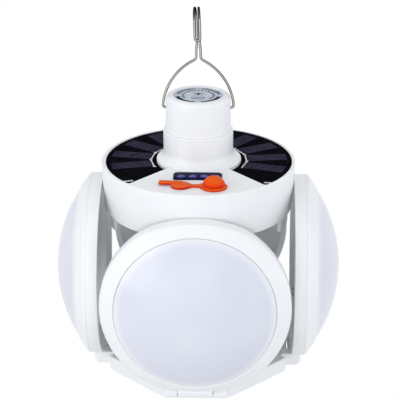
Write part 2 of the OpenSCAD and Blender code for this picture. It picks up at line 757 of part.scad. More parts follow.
// ---- lamp leaves ----
module at_leaf(turn) rotate([0, 0, turn]) translate([0, -leaf_back, -leaf_drop]) rotate([90, 0, 0])
    children();

// Round outline with a flatter arc at its top and a flat foot, smaller all round by inset
module leaf_outline(inset) intersection() {
    circle(leaf_r - inset, $fn = 180);
    translate([0, top_arc_y]) circle(top_arc_r - inset, $fn = 180);
    translate([-leaf_r, inset - leaf_foot]) square(2 * leaf_r);
}

// The space between a leaf's flatter top and its foot
module leaf_slab(inset) intersection() {
    translate([0, top_arc_y, -leaf_r]) cylinder(r = top_arc_r - inset, h = 2 * leaf_r, $fn = 180);
    translate([-2 * leaf_r, inset - leaf_foot, -leaf_r]) cube([4 * leaf_r, 3 * leaf_r, 2 * leaf_r]);
}

module knuckle_space(gap) {
    translate([-knuckle_w / 2 - gap, -leaf_foot - block_foot, leaf_wall_h - 3])
        cube([knuckle_w + 2 * gap, block_foot + 5 + gap, 20]);
}

module leaf_shell(turn) color("white") place() at_leaf(turn) difference() {
    union() {
        difference() {
            linear_extrude(leaf_wall_h) leaf_outline(0);
            translate([0, 0, -1]) linear_extrude(back_recess + 1) {
                leaf_outline(back_lip);
                for (a = leaf_screw_angles) rotate(a) translate([0, -leaf_post_c])
                    circle(screw_head_d / 2 + fit);
            }
            translate([0, 0, floor_z]) linear_extrude(20) leaf_outline(leaf_wall);
        }
        x_rod(barrel_r, knuckle_w, -knuckle_w / 2, -leaf_foot - axis_below, axis_out);
        translate([-knuckle_w / 2, -leaf_foot - axis_below, 0])
            cube([knuckle_w, axis_below + 1, axis_out + barrel_r]);
        translate([-knuckle_w / 2, -leaf_foot - block_foot, 0])
            cube([knuckle_w, block_foot + 3, block_front]);
    }
    x_rod(pin_d / 2 + running, knuckle_w + 2, -knuckle_w / 2 - 1, -leaf_foot - axis_below, axis_out);
    for (a = leaf_screw_angles) front_at(leaf_post_c, a) screw_hole(floor_t + 2, back_recess - 1);
}

module leaf_ring(turn) color("white") place() at_leaf(turn) difference() {
    union() {
        intersection() {
            rotate_extrude($fn = 180) polygon(concat(
                [[leaf_r, leaf_wall_h]], arc([leaf_r - 1.2, leaf_wall_h + 0.5], 1.2, 0, 48, 4),
                arc([dome_r + 1, ring_top - 1], 1, 48, 180, 5),
                [[dome_r, ring_top - ring_t], [leaf_flange_r + fit, ring_top - ring_t],
                 [spigot_in_r, leaf_wall_h + 1.9], [spigot_in_r, leaf_wall_h - ring_t],
                 [leaf_r - leaf_wall - fit, leaf_wall_h - ring_t], [leaf_r - leaf_wall - fit, leaf_wall_h]]));
            leaf_slab(0);
        }
        for (a = leaf_screw_angles) front_at(leaf_post_c, a)
            rod(leaf_post_r, leaf_wall_h - floor_z + 1.6, floor_z);
    }
    difference() {
        translate([0, 0, leaf_wall_h - 5]) cube([3 * leaf_r, 3 * leaf_r, 10], center = true);
        leaf_slab(leaf_wall + fit);
    }
    knuckle_space(fit);
    for (a = leaf_screw_angles) front_at(leaf_post_c, a) screw_hole(leaf_screw_grip + 1, floor_z - eps);
}

module leaf_diffuser(turn) color("ghostwhite") place() at_leaf(turn) {
    difference() {
        rod(leaf_flange_r, leaf_flange_t, leaf_flange_z);
        rod(dome_r - dome_t, 10, leaf_flange_z - 1);
    }
    difference() {
        rod(dome_r - fit, ring_top - leaf_flange_z, leaf_flange_z);
        rod(dome_r - dome_t, 40, leaf_flange_z - 1);
    }
    intersection() {
        translate([0, 0, ring_top + dome_h - dome_sphere_r]) difference() {
            sphere(dome_sphere_r, $fn = 180);
            sphere(dome_sphere_r - dome_t, $fn = 180);
        }
        rod(dome_r - fit, dome_h + 2, ring_top - 2);
    }
}

module leaf_board(turn) color("white") place() at_leaf(turn) rod(leaf_board_r, board_t, floor_z);

module leaf_leds(turn) color("khaki") place() at_leaf(turn)
    for (ring = [[leaf_ring_r[0], 8], [leaf_ring_r[1], 16]], i = [0:ring[1] - 1])
        front_at(ring[0], 360 * i / ring[1])
        translate([0, 0, floor_z + board_t]) led_chip();

module leaf_screws(turn) color("dimgray") place() at_leaf(turn)
    for (a = leaf_screw_angles) front_at(leaf_post_c, a) translate([0, 0, back_recess]) screw(floor_t + leaf_screw_grip);

module hinge_pin(turn) color("silver") place() rotate([0, 0, turn])
    x_rod(pin_d / 2, 2 * hinge_half, -hinge_half, -axis_y, axis_z);

bail_wire();
neck_cap();
cap_label();
shoulder_shell();
solar_backing();
solar_cells();
cell_tabs();
solar_cover();
indicator_window();
indicator_leds();
control_board();
board_screws();
charge_socket();
switch_body();
rubber_strap();
battery_holder();
battery_cells();
battery_contacts();
shoulder_base();
shoulder_screws();
centre_column();
column_screws();
wire_harness();
bottom_frame();
base_board();
base_leds();
base_diffuser();
base_cover();
cover_screws();
power_button();
port_plug();
sides = [["front", 0], ["right", 90], ["back", 180], ["left", 270]];
for (side = sides) {
    hinge_pin(side[1]);
    leaf_shell(side[1]);
    leaf_ring(side[1]);
    leaf_diffuser(side[1]);
    leaf_board(side[1]);
    leaf_leds(side[1]);
    leaf_screws(side[1]);
}
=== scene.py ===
# Folding solar lantern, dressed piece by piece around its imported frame. The scene is in metres;
# the sizes inside each section are in millimetres.
import json
import math

import bmesh
import bpy
from mathutils import Matrix, Vector


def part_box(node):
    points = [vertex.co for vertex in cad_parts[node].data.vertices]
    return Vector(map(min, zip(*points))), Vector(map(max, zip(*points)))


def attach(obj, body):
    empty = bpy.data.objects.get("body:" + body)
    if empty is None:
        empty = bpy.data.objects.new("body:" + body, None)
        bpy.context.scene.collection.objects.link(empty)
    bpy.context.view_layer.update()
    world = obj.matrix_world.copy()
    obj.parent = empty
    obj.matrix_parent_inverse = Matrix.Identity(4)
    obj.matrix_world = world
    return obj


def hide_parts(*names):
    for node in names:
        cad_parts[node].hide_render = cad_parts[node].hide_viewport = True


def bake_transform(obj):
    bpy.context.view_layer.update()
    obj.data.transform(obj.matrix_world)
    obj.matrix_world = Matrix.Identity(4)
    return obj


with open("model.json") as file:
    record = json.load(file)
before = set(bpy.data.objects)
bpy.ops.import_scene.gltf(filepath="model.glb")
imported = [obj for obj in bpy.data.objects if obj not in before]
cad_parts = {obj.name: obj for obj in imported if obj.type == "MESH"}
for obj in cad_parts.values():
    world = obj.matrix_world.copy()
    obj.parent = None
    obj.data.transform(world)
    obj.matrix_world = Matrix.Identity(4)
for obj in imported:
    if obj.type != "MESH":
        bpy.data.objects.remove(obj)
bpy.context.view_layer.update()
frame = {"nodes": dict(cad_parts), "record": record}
scene = bpy.context.scene
scene.view_settings.view_transform = "Standard"

# ---- Camera ----
# A long lens about a metre away, well above the deck and a touch to the right. It looks at the
# middle of the hanging lantern, which nearly fills the view from top to bottom.
eye = bpy.data.cameras.new("studio_camera")
eye.lens = 142.1
eye.sensor_width = 36.0
eye.clip_start = 0.05
camera = bpy.data.objects.new("studio_camera", eye)
camera.location = (0.02542, -0.90228, 0.24918)
sight = Vector((0.00106, 0.0, -0.12070)) - camera.location
camera.rotation_euler = sight.to_track_quat("-Z", "Y").to_euler()
scene.collection.objects.link(camera)
scene.camera = camera

# ---- Studio ----
# A pale room that is a little brighter overhead than below, with a broad soft light on the left,
# a weaker one on the right and a small one in front. What the camera and the mirror-like metal
# see behind the lantern is plain white.
room = bpy.data.worlds.new("studio_room")
room.use_nodes = True
scene.world = room
air = room.node_tree
air.nodes.clear()
room_coords = air.nodes.new("ShaderNodeTexCoord")
room_axes = air.nodes.new("ShaderNodeSeparateXYZ")
air.links.new(room_coords.outputs["Generated"], room_axes.inputs["Vector"])
wall_tone = air.nodes.new("ShaderNodeValToRGB")
for spot, place, tone in ((0, 0.25, (0.80, 0.83, 0.90, 1)), (1, 0.75, (0.93, 0.95, 0.98, 1))):
    wall_tone.color_ramp.elements[spot].position = place
    wall_tone.color_ramp.elements[spot].color = tone
lifted = air.nodes.new("ShaderNodeMapRange")
lifted.inputs["From Min"].default_value = -1.0
lifted.inputs["From Max"].default_value = 1.0
air.links.new(room_axes.outputs["Z"], lifted.inputs["Value"])
air.links.new(lifted.outputs["Result"], wall_tone.inputs["Fac"])
glow = air.nodes.new("ShaderNodeBackground")
glow.inputs["Strength"].default_value = 0.80
air.links.new(wall_tone.outputs["Color"], glow.inputs["Color"])
white_wall = air.nodes.new("ShaderNodeBackground")
white_wall.inputs["Color"].default_value = (1, 1, 1, 1)


def seen_or_mirrored(tree):
    """One for what is seen directly, through a clear piece or in a mirror, and zero for lighting."""
    paths = tree.nodes.new("ShaderNodeLightPath")
    seen = tree.nodes.new("ShaderNodeMath")
    seen.operation = "MAXIMUM"
    tree.links.new(paths.outputs["Is Camera Ray"], seen.inputs[0])
    tree.links.new(paths.outputs["Is Transmission Ray"], seen.inputs[1])
    mirrored = tree.nodes.new("ShaderNodeMath")
    mirrored.operation = "MAXIMUM"
    tree.links.new(seen.outputs["Value"], mirrored.inputs[0])
    tree.links.new(paths.outputs["Is Glossy Ray"], mirrored.inputs[1])
    return mirrored.outputs["Value"]


room_mix = air.nodes.new("ShaderNodeMixShader")
air.links.new(seen_or_mirrored(air), room_mix.inputs["Fac"])
air.links.new(glow.outputs["Background"], room_mix.inputs[1])
air.links.new(white_wall.outputs["Background"], room_mix.inputs[2])
air_out = air.nodes.new("ShaderNodeOutputWorld")
air.links.new(room_mix.outputs["Shader"], air_out.inputs["Surface"])

LANTERN_MIDDLE = Vector((0.0, 0.0, -0.14))


def soft_light(name, place, size, power, tint):
    """A round soft light that faces the middle of the lantern."""
    lamp = bpy.data.lights.new(name, "AREA")
    lamp.shape = "DISK"
    lamp.size = size
    lamp.energy = power
    lamp.color = tint
    holder = bpy.data.objects.new(name, lamp)
    holder.location = place
    holder.rotation_euler = (LANTERN_MIDDLE - Vector(place)).to_track_quat("-Z", "Y").to_euler()
    scene.collection.objects.link(holder)
    return holder


soft_light("left_soft_light", (-0.84, -0.70, 0.15), 0.8, 2.8, (1.0, 0.99, 0.985))
front_fill = soft_light("front_soft_light", (0.0, -1.05, 0.10), 0.22, 2.1, (0.98, 0.985, 1.0))
front_fill.visible_glossy = False
soft_light("right_soft_light", (1.10, -0.10, -0.10), 0.8, 2.1, (0.97, 0.985, 1.0))

# ---- Hook and bail ----
# One length of hard drawn steel wire, bent double into a hook at the top. Its two ends turn
# inwards through the walls of the neck, where the lantern swings.
MM = 0.001
DECK_TO_BASE = 133.5
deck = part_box("bottom_frame")[0].z + DECK_TO_BASE * MM


def moulding(name, corners, faces, body, sharp=30.0):
    """One piece from corners in millimetres, heights taken from the deck's rim."""
    mesh = bpy.data.meshes.new(name)
    mesh.from_pydata([(x * MM, y * MM, z * MM + deck) for x, y, z in corners], [], faces)
    shell = bmesh.new()
    shell.from_mesh(mesh)
    bmesh.ops.recalc_face_normals(shell, faces=shell.faces)
    shell.to_mesh(mesh)
    shell.free()
    mesh.shade_smooth()
    mesh.set_sharp_from_angle(angle=math.radians(sharp))
    piece = bpy.data.objects.new(name, mesh)
    scene.collection.objects.link(piece)
    if body:
        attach(piece, body)
    return piece


def loft(sections, closed_ends=True):
    """Skins a row of closed sections that have the same number of corners."""
    n = len(sections[0])
    corners = [p for section in sections for p in section]
    faces = [(i * n + k, i * n + (k + 1) % n, (i + 1) * n + (k + 1) % n, (i + 1) * n + k)
             for i in range(len(sections) - 1) for k in range(n)]
    if closed_ends:
        faces += [tuple(range(n - 1, -1, -1)), tuple(range(len(corners) - n, len(corners)))]
    return corners, faces


def drawn_wire(path, radius, sides=14):
    """A round wire along a path, closed at both ends."""
    points = [Vector(p) for p in path]
    turns = [2 * math.pi * k / sides for k in range(sides)]
    sections = []
    side = None
    for i, point in enumerate(points):
        ahead = (points[min(i + 1, len(points) - 1)] - points[max(i - 1, 0)]).normalized()
        side = side or ahead.orthogonal()
        side = (side - ahead * side.dot(ahead)).normalized()
        across = ahead.cross(side)
        sections.append([point + radius * (math.cos(turn) * side + math.sin(turn) * across)
                         for turn in turns])
    return loft(sections)


def bend(centre, radius, start, stop, u, v, steps):
    """Points of a bend in the plane of u and v, angles in degrees."""
    turns = [math.radians(start + (stop - start) * i / steps) for i in range(steps + 1)]
    return [Vector(centre) + radius * (math.cos(turn) * u + math.sin(turn) * v) for turn in turns]


PIVOT_UP = 35.2
WIRE_THICK = 1.5
CURL = 8.0
STEM_UP = 52.9
STEM_APART = 1.35
TIP_DOWN = 8.8
SPLAY = math.radians(2.7)
TOP_X = 0.82
SWAY = 0.9
SWAY_FROM = 32
SWAY_OVER = 28
CAP_OUT = 19.3
ARM_GAP = 1.45
PIN_IN = 16.2
PIN_R = 1.6
ARC_R = 34.0
ARC_DROP = 1.8
ARC_STOP = 62.5
STRAIGHT = 0.4
X = Vector((1, 0, 0))
Z = Vector((0, 0, 1))
arc_stop = math.radians(ARC_STOP)
arc_x = CAP_OUT + ARM_GAP + WIRE_THICK / 2 - ARC_R
arc_start = (math.asin((PIN_R + ARC_DROP) / math.hypot(ARC_R - PIN_R, STRAIGHT))
             + math.atan(STRAIGHT / (ARC_R - PIN_R)))
pin_x = arc_x + (ARC_R - PIN_R) * math.cos(arc_start) + STRAIGHT * math.sin(arc_start)
bend_x = arc_x + ARC_R * math.cos(arc_stop) - STRAIGHT * math.sin(arc_stop)
stem_r = (bend_x - STEM_APART) / (1 - math.cos(arc_stop))
stem_z = (ARC_R + stem_r) * math.sin(arc_stop) + STRAIGHT * math.cos(arc_stop) - ARC_DROP
stem_rise = STEM_UP - stem_z
front_x = TOP_X + 2 * CURL * math.sin(SPLAY)
front_y = -2 * CURL * math.cos(SPLAY)
curl_side = Vector((-math.sin(SPLAY), math.cos(SPLAY), 0))
narrowing = ((0.1, 1.34), (0.2, 1.25), (0.3, 1.05), (0.4, 0.86), (0.5, 0.80), (0.7, 0.80), (0.9, 0.81))
half = [Vector((PIN_IN, 0, 0))]
half += bend((pin_x, 0, PIN_R), PIN_R, -90, math.degrees(arc_start), X, Z, 12)
half += bend((arc_x, 0, -ARC_DROP), ARC_R, math.degrees(arc_start), ARC_STOP, X, Z, 36)
half += bend((STEM_APART + stem_r, 0, stem_z), stem_r, 180 + ARC_STOP, 180, X, Z, 12)
half += [Vector((x, 0, stem_z + stem_rise * t)) for t, x in narrowing]
half += bend(Vector((TOP_X, 0, STEM_UP)) - CURL * curl_side, CURL, 0, 180, curl_side, Z, 36)
half += [Vector((front_x, front_y, STEM_UP - TIP_DOWN / 2))]
tip = bend((0, front_y, STEM_UP - TIP_DOWN), front_x, 0, -180, X, Z, 14)
wire_path = half + tip + [Vector((-p.x, p.y, p.z)) for p in reversed(half)]
for p in wire_path:
    p.x -= SWAY * max(0.0, (p.z - SWAY_FROM) / SWAY_OVER) ** 2
lean = Matrix.Rotation(-math.atan(CURL / STEM_UP), 4, "X")
wire_path = [lean @ p + Vector((0, 0, PIVOT_UP)) for p in wire_path]
hook = moulding("hook_wire", *drawn_wire(wire_path, WIRE_THICK / 2), "hanging_hook", sharp=60)
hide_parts("bail_wire")


def new_finish(name):
    """A material with its shader and the grain's coordinates ready to wire up."""
    finish = bpy.data.materials.new(name)
    finish.use_nodes = True
    tree = finish.node_tree
    return finish, tree, tree.nodes["Principled BSDF"], tree.nodes.new("ShaderNodeTexCoord")


def grain(tree, coords, scale, detail=3.0, stretch=(1, 1, 1)):
    """Noise in the lantern's own space, stretched along its axes."""
    laid = tree.nodes.new("ShaderNodeMapping")
    laid.inputs["Scale"].default_value = stretch
    tree.links.new(coords.outputs["Object"], laid.inputs["Vector"])
    noise = tree.nodes.new("ShaderNodeTexNoise")
    noise.inputs["Scale"].default_value = scale
    noise.inputs["Detail"].default_value = detail
    tree.links.new(laid.outputs["Vector"], noise.inputs["Vector"])
    return noise


def coloured(tree, value, shader, stops):
    """Takes the base colour from a row of (place, tone) stops along a value."""
    ramp = tree.nodes.new("ShaderNodeValToRGB")
    for spot, (place, tone) in enumerate(stops):
        mark = ramp.color_ramp.elements[spot] if spot < 2 else ramp.color_ramp.elements.new(place)
        mark.position = place
        mark.color = (*tone, 1)
    tree.links.new(value, ramp.inputs["Fac"])
    tree.links.new(ramp.outputs["Color"], shader.inputs["Base Color"])


def gloss_range(tree, noise, shader, smooth, rough):
    """Lets the noise move the roughness between two limits."""
    spread = tree.nodes.new("ShaderNodeMapRange")
    spread.inputs["To Min"].default_value = smooth
    spread.inputs["To Max"].default_value = rough
    tree.links.new(noise.outputs["Fac"], spread.inputs["Value"])
    tree.links.new(spread.outputs["Result"], shader.inputs["Roughness"])


def surface_direction(tree):
    """The X, Y and Z of the way a surface faces in the room."""
    facing = tree.nodes.new("ShaderNodeNewGeometry")
    split = tree.nodes.new("ShaderNodeSeparateXYZ")
    tree.links.new(facing.outputs["Normal"], split.inputs["Vector"])
    return split.outputs


def share_added(tree, value, share, base):
    """A share of one value on top of another."""
    total = tree.nodes.new("ShaderNodeMath")
    total.operation = "MULTIPLY_ADD"
    total.inputs[1].default_value = share
    tree.links.new(value, total.inputs[0])
    tree.links.new(base, total.inputs[2])
    return total.outputs["Value"]


drawn_steel, tree, shader, coords = new_finish("drawn_steel")
shader.inputs["Metallic"].default_value = 1.0
shader.inputs["Specular Tint"].default_value = (0.02, 0.02, 0.02, 1)
lines = grain(tree, coords, 900.0, 2.0, (1, 1, 0.06))
# Painted reflection: the colour is bright where the wire faces front, back or up, and dark where it faces
# sideways or down, as if dark flags stood at the sides; the stretched noise adds real drawing lines.
faces_to = surface_direction(tree)
flat_on = tree.nodes.new("ShaderNodeMath")
flat_on.operation = "ABSOLUTE"
tree.links.new(faces_to["Y"], flat_on.inputs[0])
lit_top = share_added(tree, faces_to["Z"], 0.12, flat_on.outputs["Value"])
toned = share_added(tree, lines.outputs["Fac"], 0.05, lit_top)
painted_reflection_stops = ((0.55, 0.05), (0.80, 0.075), (0.94, 0.24), (1.0, 0.55))
coloured(tree, toned, shader, [(place, (tone, 0.985 * tone, 0.97 * tone)) for place, tone in painted_reflection_stops])
gloss_range(tree, lines, shader, 0.14, 0.24)
hook.data.materials.append(drawn_steel)

# ---- Neck cap ----
# Upper half of the neck, a moulded cup with a softly rounded rim. A shallow seat in its top takes
# the label plate, and two holes in its wall take the ends of the bail.


def on_circle(radius, turn, middle=(0.0, 0.0)):
    """The point on a circle in one direction, in radians."""
    return middle[0] + radius * math.cos(turn), middle[1] + radius * math.sin(turn)


def turned(profile, steps=128, middle=(0.0, 0.0)):
    """Corners and faces of a closed profile of (radius, height) turned about an upright axis."""
    corners, rings = [], []
    for r, z in profile:
        if r < 1e-6:
            rings.append([len(corners)] * steps)
            corners.append((*middle, z))
        else:
            rings.append(list(range(len(corners), len(corners) + steps)))
            corners += [(*on_circle(r, 2 * math.pi * k / steps, middle), z) for k in range(steps)]
    faces = []
    for i, low in enumerate(rings):
        high = rings[(i + 1) % len(rings)]
        for k in range(steps):
            n = (k + 1) % steps
            face = list(dict.fromkeys((low[k], low[n], high[n], high[k])))
            if len(face) > 2:
                faces.append(face)
    return corners, faces


def corner_arc(middle, radius, start, stop, steps=5):
    """Points of an arc in a flat outline or section, angles in degrees."""
    return [on_circle(radius, math.radians(start + (stop - start) * i / steps), middle)
            for i in range(steps + 1)]


def cut_away(piece, tool):
    """Cuts a closed tool out of a piece and throws the tool away."""
    cutting = piece.modifiers.new("cut", "BOOLEAN")
    cutting.object = tool
    cutting.solver = "EXACT"
    bpy.context.view_layer.update()
    ready = piece.evaluated_get(bpy.context.evaluated_depsgraph_get())
    result = bpy.data.meshes.new_from_object(ready)
    piece.modifiers.clear()
    piece.data = result
    bpy.data.objects.remove(tool)


def clean_edges(piece, sharp=30.0):
    """Shades a cut piece smooth up to its sharp edges."""
    piece.data.shade_smooth()
    piece.data.set_sharp_from_angle(angle=math.radians(sharp))
    flat = piece.modifiers.new("flat_faces", "WEIGHTED_NORMAL")
    flat.keep_sharp = True


CAP_R = 19.45
CAP_TOP = 43.6
CAP_EDGE = 3.0
CAP_BORE = 17.3
TOP_WALL = 3.0
SEAT_R = 15.0
SEAT_DOWN = 1.2
SEAT_EDGE = 0.5
SEAM_UP = 21.9
SPIGOT_R = 19.0
SPIGOT_H = 3.5
cap_profile = [(0, CAP_TOP - SEAT_DOWN), (SEAT_R, CAP_TOP - SEAT_DOWN)]
cap_profile += corner_arc((SEAT_R + SEAT_EDGE, CAP_TOP - SEAT_EDGE), SEAT_EDGE, 180, 90, 4)
cap_profile += corner_arc((CAP_R - CAP_EDGE, CAP_TOP - CAP_EDGE), CAP_EDGE, 90, 0, 12)
cap_profile += corner_arc((CAP_R + 0.1, SEAM_UP + 0.3), 0.3, 0, -90, 3)
cap_profile += [(SPIGOT_R, SEAM_UP), (SPIGOT_R, SEAM_UP - SPIGOT_H), (CAP_BORE, SEAM_UP - SPIGOT_H)]
cap_profile += [(CAP_BORE, CAP_TOP - TOP_WALL), (0, CAP_TOP - TOP_WALL)]
cap = moulding("neck_cap_shell", *turned(cap_profile, 144), None)
hole_path = [(-30, 0, PIVOT_UP), (30, 0, PIVOT_UP)]
hole_r = WIRE_THICK / 2 + 0.1
cut_away(cap, moulding("pivot_drill", *drawn_wire(hole_path, hole_r, 20), None))
clean_edges(cap)
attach(cap, "lamp_body")
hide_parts("neck_cap")


def tones(tree, noise, shader, dark, light, low=0.35, high=0.65):
    """Lets the noise move the base colour between two close tones."""
    coloured(tree, noise.outputs["Fac"], shader, ((low, dark), (high, light)))


def relief(tree, noise, shader, depth):
    """Raises the grain by about depth metres."""
    bump = tree.nodes.new("ShaderNodeBump")
    bump.inputs["Distance"].default_value = depth
    bump.inputs["Strength"].default_value = 0.6
    tree.links.new(noise.outputs["Fac"], bump.inputs["Height"])
    tree.links.new(bump.outputs["Normal"], shader.inputs["Normal"])


satin_white, tree, shader, coords = new_finish("satin_white_plastic")
clouding = grain(tree, coords, 55.0, 2.0)
tones(tree, clouding, shader, (0.865, 0.882, 0.892), (0.885, 0.897, 0.905))
skin = grain(tree, coords, 2600.0, 4.0)
gloss_range(tree, skin, shader, 0.30, 0.42)
relief(tree, skin, shader, 0.000015)
shader.inputs["Specular IOR Level"].default_value = 0.45
cap.data.materials.append(satin_white)

# ---- Label plate ----
# A round foil plate laid into the seat of the cap. It carries plain marks only: two rings of
# ticks, a small sun and two bars.
LABEL_R = 14.9
label_face = CAP_TOP - 0.8
plate_profile = [(0, CAP_TOP - SEAT_DOWN), (LABEL_R, CAP_TOP - SEAT_DOWN)]
plate_profile += corner_arc((LABEL_R - 0.15, label_face - 0.15), 0.15, 0, 90, 3) + [(0, label_face)]
plate = moulding("label_plate", *turned(plate_profile, 96), "lamp_body")
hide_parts("cap_label")
foil, tree, shader, coords = new_finish("blue_grey_foil")
shader.inputs["Metallic"].default_value = 0.35
brushing = grain(tree, coords, 420.0, 5.0, (1, 4, 1))
tones(tree, brushing, shader, (0.36, 0.42, 0.50), (0.66, 0.72, 0.80), 0.40, 0.60)
gloss_range(tree, brushing, shader, 0.35, 0.6)
relief(tree, brushing, shader, 0.00002)
plate.data.materials.append(foil)


def upright_block(outline, low, high):
    """A flat-sided block from an outline of (x, y) points."""
    return loft([[(x, y, z) for x, y in outline] for z in (low, high)])


def joined(*solids):
    """Several solids as the corners and faces of one piece."""
    corners, faces = [], []
    for more_corners, more_faces in solids:
        first = len(corners)
        corners += list(more_corners)
        faces += [tuple(first + i for i in face) for face in more_faces]
    return corners, faces


def turned_block(x, y, width, length, angle, low, high, out=0.0):
    """A block whose middle lies out from (x, y) in the direction of angle."""
    c, s = math.cos(angle), math.sin(angle)
    near, far, side = out - length / 2, out + length / 2, width / 2
    shape = [(x + c * a - s * b, y + s * a + c * b)
             for a, b in ((near, -side), (far, -side), (far, side), (near, side))]
    return upright_block(shape, low, high)


TICK_RING = 12.7
LONG_TICK = 2.8
INNER_RING = 9.4
INNER_TICK_W = 1.0
INNER_TICK_L = 1.7
SUN_AT = (0.0, 2.6)
SUN_R = 1.5
RAY_W = 0.45
RAY_L = 1.3
BAR_W = 0.8
BAR_L = 8.0
ink_low = label_face - 0.05
ink_high = label_face + 0.04
ink = []
for i in range(60):
    if i % 15 not in (0, 1, 14):
        width, length = (1.15, 2.4) if i > 30 else (0.8, 1.7)
        if i % 5 == 0:
            length = LONG_TICK
        ink.append(turned_block(0, 0, width, length, 2 * math.pi * i / 60, ink_low, ink_high, TICK_RING))
for i in range(4, 24):
    turn = -math.pi / 2 + 2 * math.pi * i / 28
    ink.append(turned_block(0, 0, INNER_TICK_W, INNER_TICK_L, turn, ink_low, ink_high, INNER_RING))
sun_disc = [on_circle(SUN_R, k * math.pi / 10, SUN_AT) for k in range(20)]
ink.append(upright_block(sun_disc, ink_low, ink_high))
ink += [turned_block(*SUN_AT, RAY_W, RAY_L, k * math.pi / 4, ink_low, ink_high, 2 * SUN_R)
        for k in range(8)]
ink += [turned_block(0, y, BAR_W, BAR_L, 0, ink_low, ink_high) for y in (-3.6, -6.6)]
marks = moulding("label_marks", *joined(*ink), "lamp_body")


def mottled(name, scale, detail, dark, light, smooth, rough, sheen=0.5, stretch=(1, 1, 1)):
    """A finish whose one grain moves both the colour and the gloss."""
    finish, tree, shader, coords = new_finish(name)
    shader.inputs["Specular IOR Level"].default_value = sheen
    noise = grain(tree, coords, scale, detail, stretch)
    tones(tree, noise, shader, dark, light)
    gloss_range(tree, noise, shader, smooth, rough)
    return finish


dark_ink = mottled("dark_ink", 700.0, 3.0, (0.004, 0.008, 0.016), (0.022, 0.03, 0.05), 0.4, 0.6, sheen=0.04)
marks.data.materials.append(dark_ink)

# ---- Shoulder ----
# The main moulding in one piece: lower neck, gently sloping deck and skirt. The deck has a pocket
# for the solar panel, a seat for the indicator window and low seats for the rubber controls.
NECK_R = 21.2
RIM_R = 59.2
DECK_RISE = 3.2
DECK_EDGE = 1.6
SKIRT_R = 57.3
SKIRT_H = 27.5
RIM_EDGE = 1.1
NECK_BORE = 19.2
DECK_UNDER = -5.2
NECK_EDGE = 0.8
FILLET_R = 6
FILLET_END = 64.2
DECK_IN = 24.6
deck_out = RIM_R - RIM_EDGE


def deck_up(r):
    """Height of the deck at a distance from the middle."""
    return DECK_EDGE + (DECK_RISE - DECK_EDGE) * (deck_out - r) / (deck_out - DECK_IN)


shoulder_profile = corner_arc((NECK_R - NECK_EDGE, SEAM_UP - NECK_EDGE), NECK_EDGE, 90, 0, 6)
shoulder_profile += corner_arc((NECK_R + FILLET_R, DECK_RISE + 5.8), FILLET_R, 180, 180 + FILLET_END, 14)
shoulder_profile += [(DECK_IN + 0.02, DECK_RISE + 0.12), (DECK_IN + 0.3, DECK_RISE)]
shoulder_profile += [(r, deck_up(r)) for r in (30, 40, 50, 56)]
shoulder_profile += corner_arc((deck_out, DECK_EDGE - RIM_EDGE), RIM_EDGE, 88, 2, 10)
shoulder_profile += [(RIM_R - 0.4, -7), (RIM_R - 1.0, -15), (SKIRT_R + 0.22, -24)]
shoulder_profile += corner_arc((SKIRT_R - 0.5, -SKIRT_H + 0.5), 0.5, 0, -90, 4)
shoulder_profile += [(SKIRT_R - 2, -SKIRT_H), (RIM_R - 2.1, DECK_UNDER), (NECK_BORE, DECK_UNDER)]
shoulder_profile += [(NECK_BORE, SEAM_UP)]
shoulder = moulding("shoulder_moulding", *turned(shoulder_profile, 192), None)


def flared_tool(outline, floor, lip=0.3, steps=4):
    """A cutter whose opening widens in a small rounding where it meets the deck."""
    sections = [[(x, y, floor) for x, y in outline(0.0)]]
    for k in range(steps + 1):
        turn = math.pi / 2 * k / steps
        sections.append([(x, y, deck_up(math.hypot(x, y)) - lip * (1 - math.sin(turn)))
                         for x, y in outline(lip * (1 - math.cos(turn)))])
    sections.append([(x, y, 30.0) for x, y in outline(lip)])
    return loft(sections)


PANEL_SHIFT = 0.4
PANEL_WIDE = 0.99
PANEL_DEEP = 1.015
PANEL_OUT = 57.4
PANEL_IN = 26.0
PANEL_CORNER = 1.6
NOTCH_BACK = -0.1


def panel_outline(grow):
    """Outline of the panel: a ring with a wide notch at the front and rounded outer corners."""
    r = PANEL_OUT + grow
    c = PANEL_CORNER + grow
    edge = NOTCH_BACK - grow
    along = math.sqrt((r - c) ** 2 - (edge + c) ** 2)
    tilt = math.degrees(math.atan2(edge + c, along))
    right = corner_arc((along, edge + c), c, -90, tilt, 8)
    root_r = PANEL_IN - grow
    right = [(math.sqrt(root_r ** 2 - edge ** 2), edge)] + right
    spin = math.radians(-45)
    right = [(x * math.cos(spin) - y * math.sin(spin), x * math.sin(spin) + y * math.cos(spin))
             for x, y in right]
    left = [(-x, y) for x, y in reversed(right)]
    a = math.atan2(right[-1][1], right[-1][0])
    b = math.atan2(right[0][1], right[0][0])
    rim_turns = [a + (math.pi - 2 * a) * i / 120 for i in range(1, 120)]
    root_turns = [math.pi - b - (math.pi - 2 * b) * i / 80 for i in range(1, 80)]
    rim = [on_circle(r, turn) for turn in rim_turns]
    root = [on_circle(root_r, turn) for turn in root_turns]
    return [(PANEL_SHIFT + PANEL_WIDE * x, PANEL_DEEP * y) for x, y in right + rim + left + root]


def soft_rectangle(x, y, width, depth, corner):
    """The outline of a rectangle with round corners, which can grow by a margin."""
    def outline(grow):
        c = corner + grow
        w, d = width / 2 + grow - c, depth / 2 + grow - c
        return [p for cx, cy, a in ((w, d, 0), (-w, d, 90), (-w, -d, 180), (w, -d, 270))
                for p in corner_arc((x + cx, y + cy), c, a, a + 90, 6)]
    return outline


def round_outline(x, y, radius, steps=64):
    """The outline of a circle, which can grow by a margin."""
    return lambda grow: [on_circle(radius + grow, 2 * math.pi * k / steps, (x, y)) for k in range(steps)]


